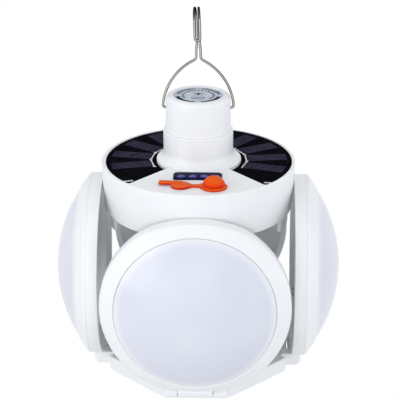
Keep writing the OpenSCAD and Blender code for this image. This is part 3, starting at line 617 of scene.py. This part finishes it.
BUTTON_AT = (10.4, -46.2)
PLUG_AT = (-9.3, -46.0)
WINDOW_AT = (0.5, -31.6)
WINDOW_W = 28.3
WINDOW_D = 10.3
POCKET_FLOOR = -1.9
SEAT_UP = DECK_EDGE + 0.3
PEG_W = 8.1
PEG_D = 2.5
for tool in (flared_tool(panel_outline, POCKET_FLOOR, 0.35),
             flared_tool(soft_rectangle(*WINDOW_AT, WINDOW_W + 0.7, WINDOW_D + 0.6, 2.0), 1.4, 0.25),
             flared_tool(round_outline(*BUTTON_AT, 8.25), SEAT_UP, 0.1),
             flared_tool(round_outline(*PLUG_AT, 5.65), SEAT_UP, 0.1),
             upright_block(round_outline(*BUTTON_AT, 6.5)(0), -9, 5),
             upright_block(soft_rectangle(*PLUG_AT, PEG_W + 0.6, PEG_D + 0.6, 1.2)(0), -9, 5)):
    cut_away(shoulder, moulding("deck_tool", *tool, None))
clean_edges(shoulder, 28)
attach(shoulder, "lamp_body")
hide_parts("shoulder_shell")
shoulder.data.materials.append(satin_white)

# ---- Solar panel ----
# Ten narrow cells glued in a fan on a black board, joined by soldered ribbons at their inner
# ends. Each cell carries fine silver fingers, and a dull clear resin covers the whole.
PANEL_FIT = -0.1
BOARD_FACE = 1.1
board_block = upright_block(panel_outline(PANEL_FIT), POCKET_FLOOR, BOARD_FACE)
board = moulding("panel_board", *board_block, "lamp_body")
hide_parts("solar_backing")
black_mask = mottled("black_board_lacquer", 900.0, 3.0, (0.0035, 0.0035, 0.005), (0.007, 0.007, 0.010),
                     0.35, 0.5, sheen=0.0)
board.data.materials.append(black_mask)

CELL_FACE = 1.4
CELL_W = 10.2
CELL_L = 25.6
CELL_IN = 28.6
CELL_COUNT = 10
CELL_STEP = 23.3
FAN_MIDDLE = 88.6
FINGER_W = 0.26
FINGER_COUNT = 5
RIBBON_W = 0.8
SOLDER_W = 1.7
cells = []
fingers = []
ribbons = []
middle = CELL_IN + CELL_L / 2
for i in range(CELL_COUNT):
    heading = math.radians(FAN_MIDDLE + (i - (CELL_COUNT - 1) / 2) * CELL_STEP)
    cells.append(turned_block(PANEL_SHIFT, 0, CELL_W, CELL_L, heading, BOARD_FACE, CELL_FACE, middle))
    for k in range(FINGER_COUNT):
        off = (k - (FINGER_COUNT - 1) / 2) * CELL_W / FINGER_COUNT
        start = (PANEL_SHIFT - math.sin(heading) * off, math.cos(heading) * off)
        fingers.append(turned_block(*start, FINGER_W, CELL_L - 1.0, heading, CELL_FACE - 0.02,
                                    CELL_FACE + 0.02, middle))
    ribbons.append(turned_block(PANEL_SHIFT, 0, CELL_W + 0.6, RIBBON_W, heading, CELL_FACE,
                                CELL_FACE + 0.15, CELL_IN + 0.2))
    between = heading + math.radians(CELL_STEP / 2)
    ribbons.append(turned_block(PANEL_SHIFT, 0, SOLDER_W, SOLDER_W, between, CELL_FACE, CELL_FACE + 0.2,
                                CELL_IN + 0.7))
# Painted highlight: two short bright tinned bars at the panel's front outer corners, shaped as output tabs,
# stand in for glints on the corners.
for side, x, y in ((-1, -40.6, -36.8), (1, 42.0, -37.2)):
    tilt = math.radians(6 - 14 * side)
    ribbons.append(turned_block(x, y, 1.5, 5.4 - 0.8 * side, tilt, CELL_FACE - 0.1, CELL_FACE + 0.1))
cell_piece = moulding("cell_wafers", *joined(*cells), "lamp_body")
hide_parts("solar_cells")
silicon = mottled("dark_silicon", 160.0, 1.0, (0.010, 0.009, 0.024), (0.019, 0.017, 0.045),
                  0.25, 0.4, sheen=0.0)
cell_piece.data.materials.append(silicon)
finger_piece = moulding("cell_fingers", *joined(*fingers), "lamp_body")
ribbon_piece = moulding("cell_ribbons", *joined(*ribbons), "lamp_body")
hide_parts("cell_tabs")
tinned, tree, shader, coords = new_finish("tinned_ribbon")
shader.inputs["Metallic"].default_value = 0.6
solder = grain(tree, coords, 1100.0, 3.0)
tones(tree, solder, shader, (0.40, 0.40, 0.42), (0.95, 0.95, 0.96), 0.4, 0.6)
gloss_range(tree, solder, shader, 0.2, 0.45)
relief(tree, solder, shader, 0.00006)
ribbon_piece.data.materials.append(tinned)
printed_silver = mottled("printed_silver", 1500.0, 2.0, (0.05, 0.05, 0.075), (0.14, 0.14, 0.19), 0.4, 0.6)
finger_piece.data.materials.append(printed_silver)

RESIN_FACE = 1.8
resin_block = upright_block(panel_outline(PANEL_FIT), RESIN_FACE - 0.15, RESIN_FACE)
resin_piece = moulding("panel_resin", *resin_block, "lamp_body")
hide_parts("solar_cover")
resin, tree, shader, coords = new_finish("clear_resin")
shader.inputs["Alpha"].default_value = 0.04
shader.inputs["Specular IOR Level"].default_value = 0.0
flow = grain(tree, coords, 90.0, 2.0)
tones(tree, flow, shader, (0.004, 0.004, 0.006), (0.010, 0.010, 0.014))
gloss_range(tree, flow, shader, 0.05, 0.12)
resin_piece.data.materials.append(resin)

# ---- Indicator window ----
# A smoked plastic lens pressed into its seat in the deck. Four small blue lamps at its face show
# how full the battery is.
LENS_PROUD = 0.45
lens_top = deck_up(-WINDOW_AT[1] - 5.2) + LENS_PROUD


def pressed_plate(outline, low, top, edge):
    """A plate with a rounded upper edge."""
    turns = [math.pi * k / 8 for k in range(5)]
    layers = [(0.0, low)] + [(-edge * (1 - math.cos(a)), top - edge * (1 - math.sin(a))) for a in turns]
    return loft([[(x, y, z) for x, y in outline(grow)] for grow, z in layers])


lens_outline = soft_rectangle(*WINDOW_AT, WINDOW_W, WINDOW_D, 2.2)
window = moulding("indicator_lens", *pressed_plate(lens_outline, 1.5, lens_top, 0.35), "lamp_body")
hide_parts("indicator_window")
smoked = mottled("smoked_lens", 120.0, 2.0, (0.005, 0.005, 0.016), (0.016, 0.015, 0.060),
                 0.18, 0.28, sheen=0.01)
window.data.materials.append(smoked)

LAMP_PITCH = 6.85
LAMP_R = 2.3
swelling = [(LAMP_R, 0.0), (2.15, 0.09), (1.7, 0.17), (1.0, 0.23), (0.0, 0.25), (0.0, -0.4), (LAMP_R, -0.4)]
lamp_dots = []
for i in range(4):
    lamp_at = (WINDOW_AT[0] + 0.5 + (i - 1.5) * LAMP_PITCH, WINDOW_AT[1] - 1.8)
    lamp_dots.append(turned([(r, z + lens_top) for r, z in swelling], 32, lamp_at))
dots = moulding("indicator_lamps", *joined(*lamp_dots), "lamp_body")
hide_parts("indicator_leds")
violet, tree, shader, coords = new_finish("violet_lamp_lens")
shader.inputs["Specular IOR Level"].default_value = 0.03
bloom = grain(tree, coords, 620.0, 2.0)
tones(tree, bloom, shader, (0.05, 0.045, 0.26), (0.19, 0.15, 0.58), 0.38, 0.62)
gloss_range(tree, bloom, shader, 0.2, 0.35)
dots.data.materials.append(violet)

# ---- Rubber controls ----
# One soft orange silicone moulding on the deck: the hollow dome over the power switch with its
# flange, a narrow strap, and the charging socket's plug with a raised pull tab. Three pieces
# stand for it, and the plug's piece rides on the plug's body so that it can lift.
DOME_R = 6.65
DOME_SQUASH = 0.89
DOME_BORE = 4.0
FLANGE_R = 7.9
flange_top = SEAT_UP + 1.0
seat_film = SEAT_UP + 0.02
dome_profile = [(0, flange_top - 0.5), (DOME_BORE, flange_top - 0.5), (DOME_BORE, seat_film)]
dome_profile += [(FLANGE_R, seat_film)] + corner_arc((FLANGE_R - 0.4, SEAT_UP + 0.45), 0.4, 0, 80, 4)
dome_profile += [(7.1, SEAT_UP + 0.95)] + corner_arc((6.95, SEAT_UP + 1.6), 0.65, -100, -160, 5)
dome_profile += [(r, flange_top + DOME_SQUASH * z) for r, z in corner_arc((0, 0), DOME_R, 7, 90, 28)]
dome = moulding("button_dome", *turned(dome_profile, 96, BUTTON_AT), None, 50)
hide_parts("power_button")


def cushion_section(x, y, half_w, low, top, edge=0.3):
    """Cross-section of a flat rubber strip that runs along X."""
    e = min(edge, half_w * 0.6, (top - low) * 0.49)
    return [(x, y - half_w, low), (x, y - half_w, top - e), (x, y - half_w + 0.3 * e, top - 0.3 * e),
            (x, y - half_w + e, top), (x, y + half_w - e, top), (x, y + half_w - 0.3 * e, top - 0.3 * e),
            (x, y + half_w, top - e), (x, y + half_w, low)]


strap_y = BUTTON_AT[1]
strap_start = PLUG_AT[0] + 4.2
strap_stop = BUTTON_AT[0] - 6.6
strap_rows = []
for i in range(25):
    t = i / 24
    near_plug = max(0.0, 1 - t / 0.45)
    near_dome = max(0.0, (t - 0.6) / 0.4)
    half_w = 1.8 + 2.2 * near_plug ** 2 + 2.2 * near_dome ** 2
    strap_rows.append(cushion_section(strap_start + (strap_stop - strap_start) * t,
                                      strap_y + 0.1 * near_plug, half_w, seat_film,
                                      SEAT_UP + 1.2 + 0.3 * near_plug ** 2))
strap = moulding("rubber_strap_piece", *loft(strap_rows), None, 45)
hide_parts("rubber_strap")

PAD_R = 5.45
pad_top = SEAT_UP + 1.6
plug_profile = [(0, seat_film), (PAD_R - 0.25, seat_film), (PAD_R, SEAT_UP + 0.3)]
plug_profile += corner_arc((PAD_R - 0.5, pad_top - 0.5), 0.5, 0, 90)
plug_profile += [(2.5, pad_top + 0.08), (0, pad_top + 0.1)]
peg = upright_block(soft_rectangle(*PLUG_AT, PEG_W, PEG_D, 1.0)(0), SEAT_UP - 5.0, SEAT_UP + 0.5)
TAB_L = 13.4
TAB_HALF_W = 2.35
tab_rows = []
for i in range(17):
    t = i / 16
    half_w = TAB_HALF_W * (1 - 0.35 * max(0.0, 1 - t / 0.06))
    tab_rows.append(cushion_section(PLUG_AT[0] - 12.7 + TAB_L * t, PLUG_AT[1] + 3.05 - 0.4 * t, half_w,
                                    pad_top - 0.55 - 0.15 * (1 - t), pad_top + 0.5 - 0.1 * t, 0.4))
plug_solids = joined(turned(plug_profile, 72, PLUG_AT), peg, loft(tab_rows))
plug = moulding("charging_plug", *plug_solids, "port_plug", 50)
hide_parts("port_plug")
silicone, tree, shader, coords = new_finish("orange_silicone")
shader.inputs["Specular IOR Level"].default_value = 0.12
bloom = grain(tree, coords, 300.0, 3.0)
# Painted shade: the orange darkens to deep red where the rubber faces sideways or down, on the flange's
# rim, the strap's sides and the pad's edge, and turns yellower on top as painted light; the noise adds a
# real mottle.
mottle_and_painted_shade = share_added(tree, bloom.outputs["Fac"], 0.5, surface_direction(tree)["Z"])
orange_and_painted_shade = ((0.25, (0.50, 0.010, 0.0)), (0.70, (0.86, 0.052, 0.002)), (1.0, (0.80, 0.110, 0.006)))
coloured(tree, mottle_and_painted_shade, shader, orange_and_painted_shade)
dust = grain(tree, coords, 2200.0, 3.0)
gloss_range(tree, dust, shader, 0.42, 0.58)
relief(tree, dust, shader, 0.00002)
for rubber in (dome, strap, plug):
    rubber.data.materials.append(silicone)
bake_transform(dome)
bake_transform(strap)

# ---- Leaf trays ----
# Four round lamps stand on hinges at the bottom frame. The back of each is a moulded tray with a
# recess and four screws, and the knuckle of its hinge is moulded on below.
LEAF_R = 56.9
TOP_HIGH = 55.2
TOP_ARC_R = LEAF_R + 13
FOOT_LOW = 53.5
LEAF_MIDDLE = -67.6
LEAF_BACK = 58.84
TRAY_H = 7.1
SCREW_OUT = 52.05
SIDES = (("front", 0), ("right", 90), ("back", 180), ("left", 270))
POCKET_R = 2.42
POCKET_TURNS = (-2.65, -2.4, -1.5, -0.8, 0.8, 1.5, 2.4, 2.65)
screw_turns = [45 + 90 * k for k in range(4)]
leaf_turns = sorted([2.0 * k for k in range(180)] + [a + d for a in screw_turns for d in POCKET_TURNS])


def leaf_edge(turn, inset=0.0):
    """How far a leaf's outline reaches in one direction: a circle, a flatter top and a flat foot."""
    c, s = math.cos(math.radians(turn)), math.sin(math.radians(turn))
    low_centre = TOP_HIGH - TOP_ARC_R
    reach = [LEAF_R - inset, low_centre * s + math.sqrt((TOP_ARC_R - inset) ** 2 - (low_centre * c) ** 2)]
    if s < -0.1:
        reach.append((FOOT_LOW - inset) / -s)
    return sum(r ** -150 for r in reach) ** (-1 / 150)


def leaf_row(inset, height, pockets=False):
    """One closed row around a leaf; height is a number or a function of the reach."""
    row = []
    for turn in leaf_turns:
        r = leaf_edge(turn, inset)
        off = turn % 90 - 45
        if pockets and abs(off) < POCKET_TURNS[-1] + 0.01:
            bow = POCKET_R ** 2 - (SCREW_OUT * math.sin(math.radians(off))) ** 2
            r = max(r, SCREW_OUT * math.cos(math.radians(off)) + math.sqrt(max(bow, 0.0)))
        z = height(r) if callable(height) else height
        row.append((*on_circle(r, math.radians(turn)), z))
    return row


def endless(rows):
    """Skins rows that close on themselves, such as the section of a ring."""
    corners, faces = loft(rows, False)
    n = len(rows[0])
    last = len(corners) - n
    faces += [(last + k, last + (k + 1) % n, (k + 1) % n, k) for k in range(n)]
    return corners, faces


def set_on_leaf(corners, turn):
    """Moves corners from a leaf's own space (x sideways, y up, z outwards) to its side."""
    spin = Matrix.Rotation(math.radians(turn), 4, "Z")
    return [tuple(spin @ Vector((x, -LEAF_BACK - z, LEAF_MIDDLE + y))) for x, y, z in corners]


def along_x(profile, start, stop, soft=0.35):
    """A bar along X from a profile of (y, z), with softened ends."""
    mid = [sum(p[i] for p in profile) / len(profile) for i in (0, 1)]

    def row(x, shrink):
        out = []
        for y, z in profile:
            away = math.hypot(y - mid[0], z - mid[1])
            k = (away - shrink) / away
            out.append((x, mid[0] + (y - mid[0]) * k, mid[1] + (z - mid[1]) * k))
        return out
    return loft([row(start, soft), row(start + 0.3 * soft, 0.3 * soft), row(start + soft, 0.0),
                 row(stop - soft, 0.0), row(stop - 0.3 * soft, 0.3 * soft), row(stop, soft)])


HINGE_Y = -FOOT_LOW - 4.5
HINGE_OUT = 2.1
BARREL_R = 4.0
KNUCKLE_HALF = 10.45
hollow = ((LEAF_R - 2, 2.8), (LEAF_R - 40, 2.95))
recess = ((4.6, 3.0), (4.1, 2.85), (4.0, 2.5), (4.0, 0.45), (3.85, 0.12), (3.5, 0.0))
wall = ((0.5, 0.0), (0.15, 0.13), (0.0, 0.5), (0.0, 3.5), (0.0, TRAY_H - 0.05), (0.02, TRAY_H - 0.02),
        (0.05, TRAY_H), (2.0, TRAY_H), (2.0, 4.8), (LEAF_R - 2, 4.8))
tray_rows = [leaf_row(inset, height) for inset, height in hollow]
tray_rows += [leaf_row(inset, height, True) for inset, height in recess]
tray_rows += [leaf_row(inset, height) for inset, height in wall]
barrel = corner_arc((HINGE_Y, HINGE_OUT), BARREL_R, 90, 270, 18)
knuckle_profile = barrel + [(-FOOT_LOW - 1.0, -0.3), (-FOOT_LOW + 0.8, 0.3), (-FOOT_LOW + 2.8, 3.0)]
knuckle_profile += [(-FOOT_LOW + 2.6, 10.2), (-FOOT_LOW + 2.2, 10.6), (-FOOT_LOW - 1.5, 10.6)]
knuckle_profile += [(-FOOT_LOW - 1.9, 10.2), (-FOOT_LOW - 1.9, 6.5), (-FOOT_LOW - 2.3, 6.1)]
tray_parts = joined(endless(tray_rows), along_x(knuckle_profile, -KNUCKLE_HALF, KNUCKLE_HALF))
for side, turn in SIDES:
    tray = moulding(side + "_tray", set_on_leaf(tray_parts[0], turn), tray_parts[1], side + "_leaf", 38)
    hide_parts(side + "_leaf_shell")
    tray.data.materials.append(satin_white)

# ---- Leaf rings ----
# A bevelled ring of the same plastic clips over each tray. It slopes from the tray's wall up to
# a narrow rounded lip that holds the dome.
RING_TOP = 14.1
BEVEL_OUT = 56.5
BEVEL_LOW = 8.49
BEVEL_IN = 49.37
BEVEL_HIGH = 13.84


def slope(r):
    """Height of the ring's bevel at a distance from the leaf's middle."""
    if r > BEVEL_OUT:
        return BEVEL_LOW - (r - BEVEL_OUT) * 1.6
    return BEVEL_LOW + (BEVEL_OUT - r) * (BEVEL_HIGH - BEVEL_LOW) / (BEVEL_OUT - BEVEL_IN)


def round_row(turns, radius, height):
    """One round row with a corner at each of the turns, in degrees."""
    return [(*on_circle(radius, math.radians(turn)), height) for turn in turns]


skirt = ((2.2, 5.3), (2.2, TRAY_H + 0.2), (0.3, TRAY_H + 0.04), (0.04, TRAY_H + 0.05), (0.0, TRAY_H + 0.1),
         (0.0, lambda r: max(slope(r) - 0.55, TRAY_H + 0.3)), (0.1, lambda r: slope(r) - 0.12),
         (0.42, lambda r: slope(r) - 0.02))
lip = ((49.1, 14.0), (48.8, RING_TOP - 0.02), (48.5, 14.07), (48.25, 14.02), (48.15, 13.9), (48.15, 12.3),
       (49.4, 12.2), (50.2, 9.5), (51.0, 5.3))
ring_rows = [leaf_row(inset, height) for inset, height in skirt]
bevel_foot = [math.hypot(x, y) for x, y, z in ring_rows[-1]]
for k in range(1, 6):
    reached = [r + (49.4 - r) * k / 5 for r in bevel_foot]
    ring_rows.append([(*on_circle(r, math.radians(turn)), slope(r))
                      for r, turn in zip(reached, leaf_turns)])
ring_rows += [round_row(leaf_turns, r, z) for r, z in lip]
ring_parts = endless(ring_rows)
for side, turn in SIDES:
    ring = moulding(side + "_ring", set_on_leaf(ring_parts[0], turn), ring_parts[1], side + "_leaf", 26)
    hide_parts(side + "_leaf_ring")
    ring.data.materials.append(satin_white)

# ---- Leaf domes ----
# A shallow blown dome of milky plastic on each leaf, whose edge is trapped under the ring's lip.
# It looks a faint lavender beside the white ring, with painted shade darkening its middle and its colour
# paling towards its edge.
DOME_EDGE = 48.1
BULGE = 15.0
ball = (DOME_EDGE ** 2 + BULGE ** 2) / (2 * BULGE)
ball_middle = RING_TOP - 0.1 + BULGE - ball
rim_turn = math.degrees(math.acos((DOME_EDGE - 0.15) / ball))
dome_section = [(DOME_EDGE - 2.0, 12.4), (DOME_EDGE - 0.15, 12.4)]
dome_section += corner_arc((0, ball_middle), ball, rim_turn, 90, 34)
dome_section += corner_arc((0, ball_middle), ball - 1.6, 90, rim_turn + 1.6, 16)
dome_parts = turned(dome_section, 144)
milky, tree, shader, coords = new_finish("milky_plastic")
fog = grain(tree, coords, 26.0, 1.0)
# Painted shade: the milky colour is darker lavender in the middle of each dome and lens and pales towards
# the edge; the low noise adds a real cloudiness.
off_middle = tree.nodes.new("ShaderNodeVectorMath")
off_middle.operation = "SUBTRACT"
off_middle.inputs[1].default_value = (0.5, 0.5, 0.5)
tree.links.new(coords.outputs["Generated"], off_middle.inputs[0])
far_out = tree.nodes.new("ShaderNodeVectorMath")
far_out.operation = "DOT_PRODUCT"
tree.links.new(off_middle.outputs["Vector"], far_out.inputs[0])
tree.links.new(off_middle.outputs["Vector"], far_out.inputs[1])
near_rim = tree.nodes.new("ShaderNodeMapRange")
near_rim.inputs["From Min"].default_value = 0.255
near_rim.inputs["From Max"].default_value = 0.42
near_rim.inputs["To Max"].default_value = 0.5
tree.links.new(far_out.outputs["Value"], near_rim.inputs["Value"])
paled = share_added(tree, fog.outputs["Fac"], 0.5, near_rim.outputs["Result"])
milk_and_painted_shade = ((0.175, (0.695, 0.713, 0.80)), (0.325, (0.73, 0.748, 0.83)), (0.75, (0.84, 0.865, 0.88)))
coloured(tree, paled, shader, milk_and_painted_shade)
skin = grain(tree, coords, 1800.0, 2.0)
gloss_range(tree, skin, shader, 0.16, 0.24)
for side, turn in SIDES:
    shell = set_on_leaf(dome_parts[0], turn)
    lamp_dome = moulding(side + "_dome", shell, dome_parts[1], side + "_leaf", 40)
    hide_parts(side + "_leaf_diffuser")
    lamp_dome.data.materials.append(milky)

# ---- Screws and pins ----
# Zinc-plated cross-head screws hold the trays, flanges and covers, and each leaf turns on a plain
# steel pin through the lugs of the bottom frame.
zinc, tree, shader, coords = new_finish("zinc_plated_steel")
shader.inputs["Metallic"].default_value = 1.0
plating = grain(tree, coords, 900.0, 3.0)
tones(tree, plating, shader, (0.45, 0.45, 0.44), (0.62, 0.62, 0.60))
gloss_range(tree, plating, shader, 0.25, 0.4)
relief(tree, plating, shader, 0.00001)


def finish_carried(slot, finish):
    """Gives one finish to the carried pieces of a material slot."""
    for part in frame["record"]["subparts"]:
        if part["material_slot"] == slot:
            worn_by = frame["nodes"][part["node"]].data.materials
            worn_by.clear()
            worn_by.append(finish)


finish_carried("screw_steel", zinc)

# ---- Bottom frame ----
# An eight-sided moulded frame, open below, that carries the column on its plate and the leaves on
# two lugs per side. The lantern stands on its lower edge.
FRAME_LOW = -DECK_TO_BASE
FRAME_HIGH = FRAME_LOW + 10
FLAT_OUT = 56.3
CHAMFER_OUT = 53.8
TAPER = 0.8
CORNER_TURN = 17.67
CORNER_STEPS = (-1.6, -1.1, -0.7, -0.35, 0.35, 0.7, 1.1, 1.6)
corner_turns = [90 * q + s * CORNER_TURN for q in range(4) for s in (-1, 1)]
frame_turns = [(a + d) % 360 for a in corner_turns for d in CORNER_STEPS]
frame_turns = sorted(frame_turns + [3.0 * k for k in range(120)])


def frame_row(inset, height):
    """One row around the eight-sided frame, with slightly rounded corners."""
    row = []
    for turn in frame_turns:
        near = []
        for k in range(8):
            c = math.cos(math.radians(turn - 45 * k))
            if c > 0.3:
                near.append(((FLAT_OUT if k % 2 == 0 else CHAMFER_OUT) - inset) / c)
        r = sum(d ** -60 for d in near) ** (-1 / 60)
        row.append((*on_circle(r, math.radians(turn)), height))
    return row


INSIDE = 4.1
PLATE_T = 2
PLATE_HOLE = 24.0
outside = ((INSIDE, FRAME_LOW), (TAPER + 0.7, FRAME_LOW), (TAPER + 0.2, FRAME_LOW + 0.2),
           (TAPER, FRAME_LOW + 0.7), (0.1, FRAME_HIGH - 2.5), (0.0, FRAME_HIGH - 1.0),
           (0.15, FRAME_HIGH - 0.4), (0.4, FRAME_HIGH - 0.1), (0.8, FRAME_HIGH))
plate_hole = ((PLATE_HOLE + 0.3, 0), (PLATE_HOLE, 0.3), (PLATE_HOLE, PLATE_T))
frame_rows = [frame_row(inset, height) for inset, height in outside]
frame_rows += [round_row(frame_turns, r, FRAME_HIGH - down) for r, down in plate_hole]
frame_rows.append(frame_row(INSIDE, FRAME_HIGH - PLATE_T))
HINGE_UP = -125.6
LUG_ROOT = -52.5
LUG_IN = 10.7
LUG_OUT = 18.8
lug_profile = corner_arc((-LEAF_BACK - HINGE_OUT, HINGE_UP), BARREL_R, 90, 270, 16)
lug_profile += [(LUG_ROOT, HINGE_UP - BARREL_R), (LUG_ROOT, HINGE_UP + BARREL_R)]
BOSS_OUT = 45.44
boss_high = FRAME_HIGH - 1.5
boss_low = FRAME_LOW + 2
boss_profile = [(0.9, boss_high), (2.9, boss_high), (2.9, boss_low), (0.9, boss_low)]
frame_solids = [endless(frame_rows)]
for turn in (0, 90, 180, 270):
    spin = Matrix.Rotation(math.radians(turn), 4, "Z")
    for start, stop in ((LUG_IN, LUG_OUT), (-LUG_OUT, -LUG_IN)):
        bar = along_x(lug_profile, start, stop, 0.9)
        frame_solids.append(([tuple(spin @ Vector(p)) for p in bar[0]], bar[1]))
    frame_solids.append(turned(boss_profile, 32, on_circle(BOSS_OUT, math.radians(turn + 45))))
octagon = moulding("octagon_frame", *joined(*frame_solids), "lamp_body", 34)
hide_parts("bottom_frame")
octagon.data.materials.append(satin_white)

# ---- Base cover ----
# A flat moulded plate with a round opening for the base lens. Four screws in sunk pockets hold it
# up in the frame's corners.
COVER_INSET = INSIDE + 0.15
COVER_T = 2
COVER_HOLE = 40.44
cover_edge = ((COVER_INSET + 0.3, 0), (COVER_INSET, 0.3), (COVER_INSET, COVER_T))
cover_hole = ((COVER_HOLE, COVER_T), (COVER_HOLE, 0.4), (COVER_HOLE + 0.4, 0))
cover_rows = [frame_row(inset, FRAME_LOW + up) for inset, up in cover_edge]
cover_rows += [round_row(frame_turns, r, FRAME_LOW + up) for r, up in cover_hole]
cover = moulding("base_plate", *endless(cover_rows), None)
for turn in screw_turns:
    pocket = round_outline(*on_circle(BOSS_OUT, math.radians(turn)), 2.35, 32)(0)
    cut_away(cover, moulding("pocket_tool", *upright_block(pocket, FRAME_LOW - 1, FRAME_LOW + 1.4), None))
clean_edges(cover)
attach(cover, "lamp_body")
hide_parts("base_cover")
cover.data.materials.append(satin_white)

# ---- Base lens ----
# A nearly flat lens of the same milky plastic as the domes. Its flange rests on the cover, around
# the opening.
LENS_R = 40.29
LENS_BULGE = 1.7
LENS_T = 1.4
LENS_FLANGE = 42.35
lens_low = FRAME_LOW + COVER_T
lens_ball = (LENS_R ** 2 + LENS_BULGE ** 2) / (2 * LENS_BULGE)
lens_middle = (0, lens_low - LENS_BULGE + lens_ball)
lens_half = math.degrees(math.asin(LENS_R / lens_ball))
lens_section = [(LENS_FLANGE, lens_low), (LENS_FLANGE, lens_low + LENS_T), (38.9, lens_low + LENS_T)]
lens_section += corner_arc(lens_middle, lens_ball - LENS_T, -90 + lens_half - 2, -90, 8)
lens_section += corner_arc(lens_middle, lens_ball, -90, -90 + lens_half, 16)
base_lens = moulding("base_lens", *turned(lens_section, 128), "lamp_body", 40)
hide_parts("base_diffuser")
base_lens.data.materials.append(milky)

# ---- Inner mouldings ----
# The shoulder's floor with its catch aprons and the column are the shell's plastic; the battery
# holder, socket and switch are grey plastic.
grey_plastic = mottled("grey_plastic", 220.0, 3.0, (0.16, 0.165, 0.17), (0.20, 0.205, 0.21), 0.4, 0.55)
finish_carried("inner_white", satin_white)
finish_carried("inner_grey", grey_plastic)

# ---- Boards ----
# Glass-fibre boards held by screws. The control board is green; the base board and the leaf
# boards are lacquered white to send the light outwards.
green_mask = mottled("green_board_lacquer", 1300.0, 2.0, (0.012, 0.11, 0.045), (0.02, 0.15, 0.06),
                     0.2, 0.35, stretch=(1, 1, 0.2))
finish_carried("board_green", green_mask)
white_mask = mottled("white_board_lacquer", 1300.0, 2.0, (0.70, 0.70, 0.67), (0.76, 0.76, 0.73), 0.25, 0.4)
finish_carried("board_white", white_mask)

# ---- Light chips ----
# Small light-emitting chips soldered onto the white boards. A yellow phosphor covers each face
# and turns the chip's blue light white.
phosphor = mottled("yellow_phosphor", 1500.0, 3.0, (0.72, 0.55, 0.16), (0.85, 0.68, 0.24), 0.3, 0.5)
finish_carried("led_chip", phosphor)

# ---- Battery and leads ----
# Two cells in shrink sleeves between tinned contact discs, and a pair of insulated leads down to
# the base board.
sleeve = mottled("shrink_sleeve", 90.0, 2.0, (0.03, 0.12, 0.32), (0.04, 0.15, 0.38),
                 0.2, 0.32, stretch=(1, 1, 0.2))
finish_carried("battery_wrap", sleeve)
finish_carried("cell_silver", tinned)
lead_cover = mottled("lead_insulation", 700.0, 2.0, (0.42, 0.02, 0.016), (0.52, 0.03, 0.02), 0.35, 0.5)
finish_carried("wire_red", lead_cover)

# ---- Floor ----
# A sheet of pale paper far below the hanging lantern. Seen directly or in a mirror it is plain
# white like the rest of the room.
FLOOR_HALF = 6
FLOOR_UP = -1.4
sheet_ends = ((-FLOOR_HALF, -FLOOR_HALF), (FLOOR_HALF, -FLOOR_HALF), (FLOOR_HALF, FLOOR_HALF),
              (-FLOOR_HALF, FLOOR_HALF))
sheet = bpy.data.meshes.new("studio_floor")
sheet.from_pydata([(x, y, FLOOR_UP) for x, y in sheet_ends], [], [(0, 1, 2, 3)])
floor = bpy.data.objects.new("studio_floor", sheet)
scene.collection.objects.link(floor)
paper = bpy.data.materials.new("floor_paper")
paper.use_nodes = True
tree = paper.node_tree
shader = tree.nodes["Principled BSDF"]
shader.inputs["Base Color"].default_value = (0.82, 0.82, 0.82, 1)
shader.inputs["Roughness"].default_value = 0.8
bright = tree.nodes.new("ShaderNodeEmission")
bright.inputs["Strength"].default_value = 1.0
mixed = tree.nodes.new("ShaderNodeMixShader")
tree.links.new(seen_or_mirrored(tree), mixed.inputs["Fac"])
tree.links.new(shader.outputs["BSDF"], mixed.inputs[1])
tree.links.new(bright.outputs["Emission"], mixed.inputs[2])
tree.links.new(mixed.outputs["Shader"], tree.nodes["Material Output"].inputs["Surface"])
sheet.materials.append(paper)
